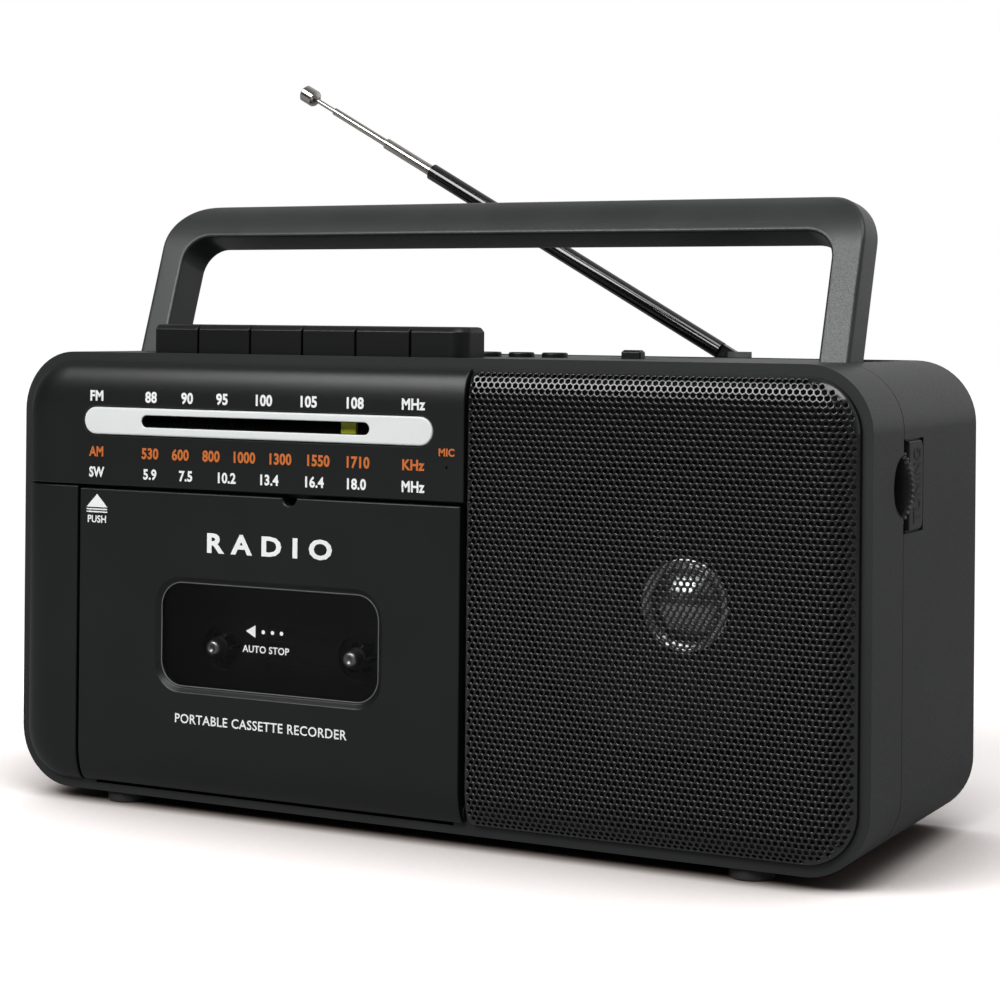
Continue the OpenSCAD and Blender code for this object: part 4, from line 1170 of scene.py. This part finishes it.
floor_mesh = bpy.data.meshes.new("floor")
floor_mesh.from_pydata([(-6, -6, 0), (6, -6, 0), (6, 6, 0), (-6, 6, 0)], [], [(0, 1, 2, 3)])
floor = new_object("floor", floor_mesh)
floor_with_painted_shadow = Nodes("floor_with_painted_shadow")
# Painted shadow: where ambient occlusion finds the radio close by, the floor's colour turns from white to a
# brownish grey, standing in for the contact shadow round its base.
near = floor_with_painted_shadow.add("ShaderNodeAmbientOcclusion", Distance=0.10).outputs["AO"]
lit = floor_with_painted_shadow.add("ShaderNodeBsdfDiffuse", Color=floor_with_painted_shadow.tint(
    floor_with_painted_shadow.ramp(near, 0, 1, 0.25, 0.95), (0.20, 0.165, 0.15), (1.62, 1.55, 1.53)))
dim = floor_with_painted_shadow.add("ShaderNodeBsdfDiffuse", Color=(0.31, 0.31, 0.31, 1))
white = floor_with_painted_shadow.add("ShaderNodeEmission", Color=(1, 1, 1, 1), Strength=1.05)
reach = floor_with_painted_shadow.add("ShaderNodeVectorMath", Vector=floor_with_painted_shadow.coords)
reach.operation = "LENGTH"
far = floor_with_painted_shadow.ramp(reach.outputs["Value"], 0, 1, 0.28, 0.55)
seen = floor_with_painted_shadow.add("ShaderNodeLightPath").outputs["Is Camera Ray"]
fade = floor_with_painted_shadow.add("ShaderNodeMixShader", Fac=far)
floor_with_painted_shadow.feed(fade.inputs[1], lit.outputs[0])
floor_with_painted_shadow.feed(fade.inputs[2], white.outputs[0])
blend = floor_with_painted_shadow.add("ShaderNodeMixShader", Fac=seen)
floor_with_painted_shadow.feed(blend.inputs[1], dim.outputs[0])
floor_with_painted_shadow.feed(blend.inputs[2], fade.outputs[0])
floor_with_painted_shadow.feed(floor_with_painted_shadow.tree.nodes["Material Output"].inputs["Surface"], blend.outputs[0])
floor_mesh.materials.append(floor_with_painted_shadow.material)
floor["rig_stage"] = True


def studio_world():
    """Pale studio: a bright backdrop behind, dim in front, and plain white where the camera looks."""
    world = bpy.data.worlds.new("studio")
    world.use_nodes = True
    tree = world.node_tree
    tree.nodes.clear()
    new, link = tree.nodes.new, tree.links.new
    split = new("ShaderNodeSeparateXYZ")
    link(new("ShaderNodeTexCoord").outputs["Generated"], split.inputs[0])
    lean, depth = new("ShaderNodeMath"), new("ShaderNodeMapRange")
    lean.operation = "MULTIPLY_ADD"
    lean.inputs[1].default_value = 0.35
    link(split.outputs["X"], lean.inputs[0])
    link(split.outputs["Y"], lean.inputs[2])
    link(lean.outputs[0], depth.inputs["Value"])
    for name, value in (("From Min", -0.6), ("From Max", 0.9), ("To Min", 0.04), ("To Max", 0.80)):
        depth.inputs[name].default_value = value
    glow, plain = new("ShaderNodeBackground"), new("ShaderNodeBackground")
    mix = new("ShaderNodeMixShader")
    link(depth.outputs["Result"], glow.inputs["Strength"])
    plain.inputs["Color"].default_value = (1, 1, 1, 1)
    link(new("ShaderNodeLightPath").outputs["Is Camera Ray"], mix.inputs["Fac"])
    link(glow.outputs[0], mix.inputs[1])
    link(plain.outputs[0], mix.inputs[2])
    link(mix.outputs[0], new("ShaderNodeOutputWorld").inputs["Surface"])
    return world


bpy.context.scene.world = studio_world()
bpy.context.scene.view_settings.view_transform = "Standard"

area_light("front_box", (-0.27, -0.92, 0.84), (0, 0, 0.10), (1.0, 0.52), 13)
area_light("side_box", (0.48, -0.45, 1.20), (0, 0.02, 0.0), (0.9, 0.6), 6.5)

camera_data = bpy.data.cameras.new("camera")
camera = new_object("camera", camera_data)
camera_data.lens = 84.1  # with the shift and the place below, the view of the photograph
camera_data.sensor_width = 36
camera_data.shift_y = -0.1827
camera_data.clip_start, camera_data.clip_end = 0.05, 20
camera.location = (0.2892, -0.5535, 0.1300)
YAW, PITCH_UP, ROLL = math.radians(27.365), math.radians(0.12), math.radians(0.52)
camera.matrix_world = (
    Matrix.Translation(camera.location)
    @ Matrix.Rotation(YAW, 4, "Z")
    @ Matrix.Rotation(math.pi / 2 + PITCH_UP, 4, "X")
    @ Matrix.Rotation(ROLL, 4, "Z")
)
bpy.context.scene.camera = camera

low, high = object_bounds()
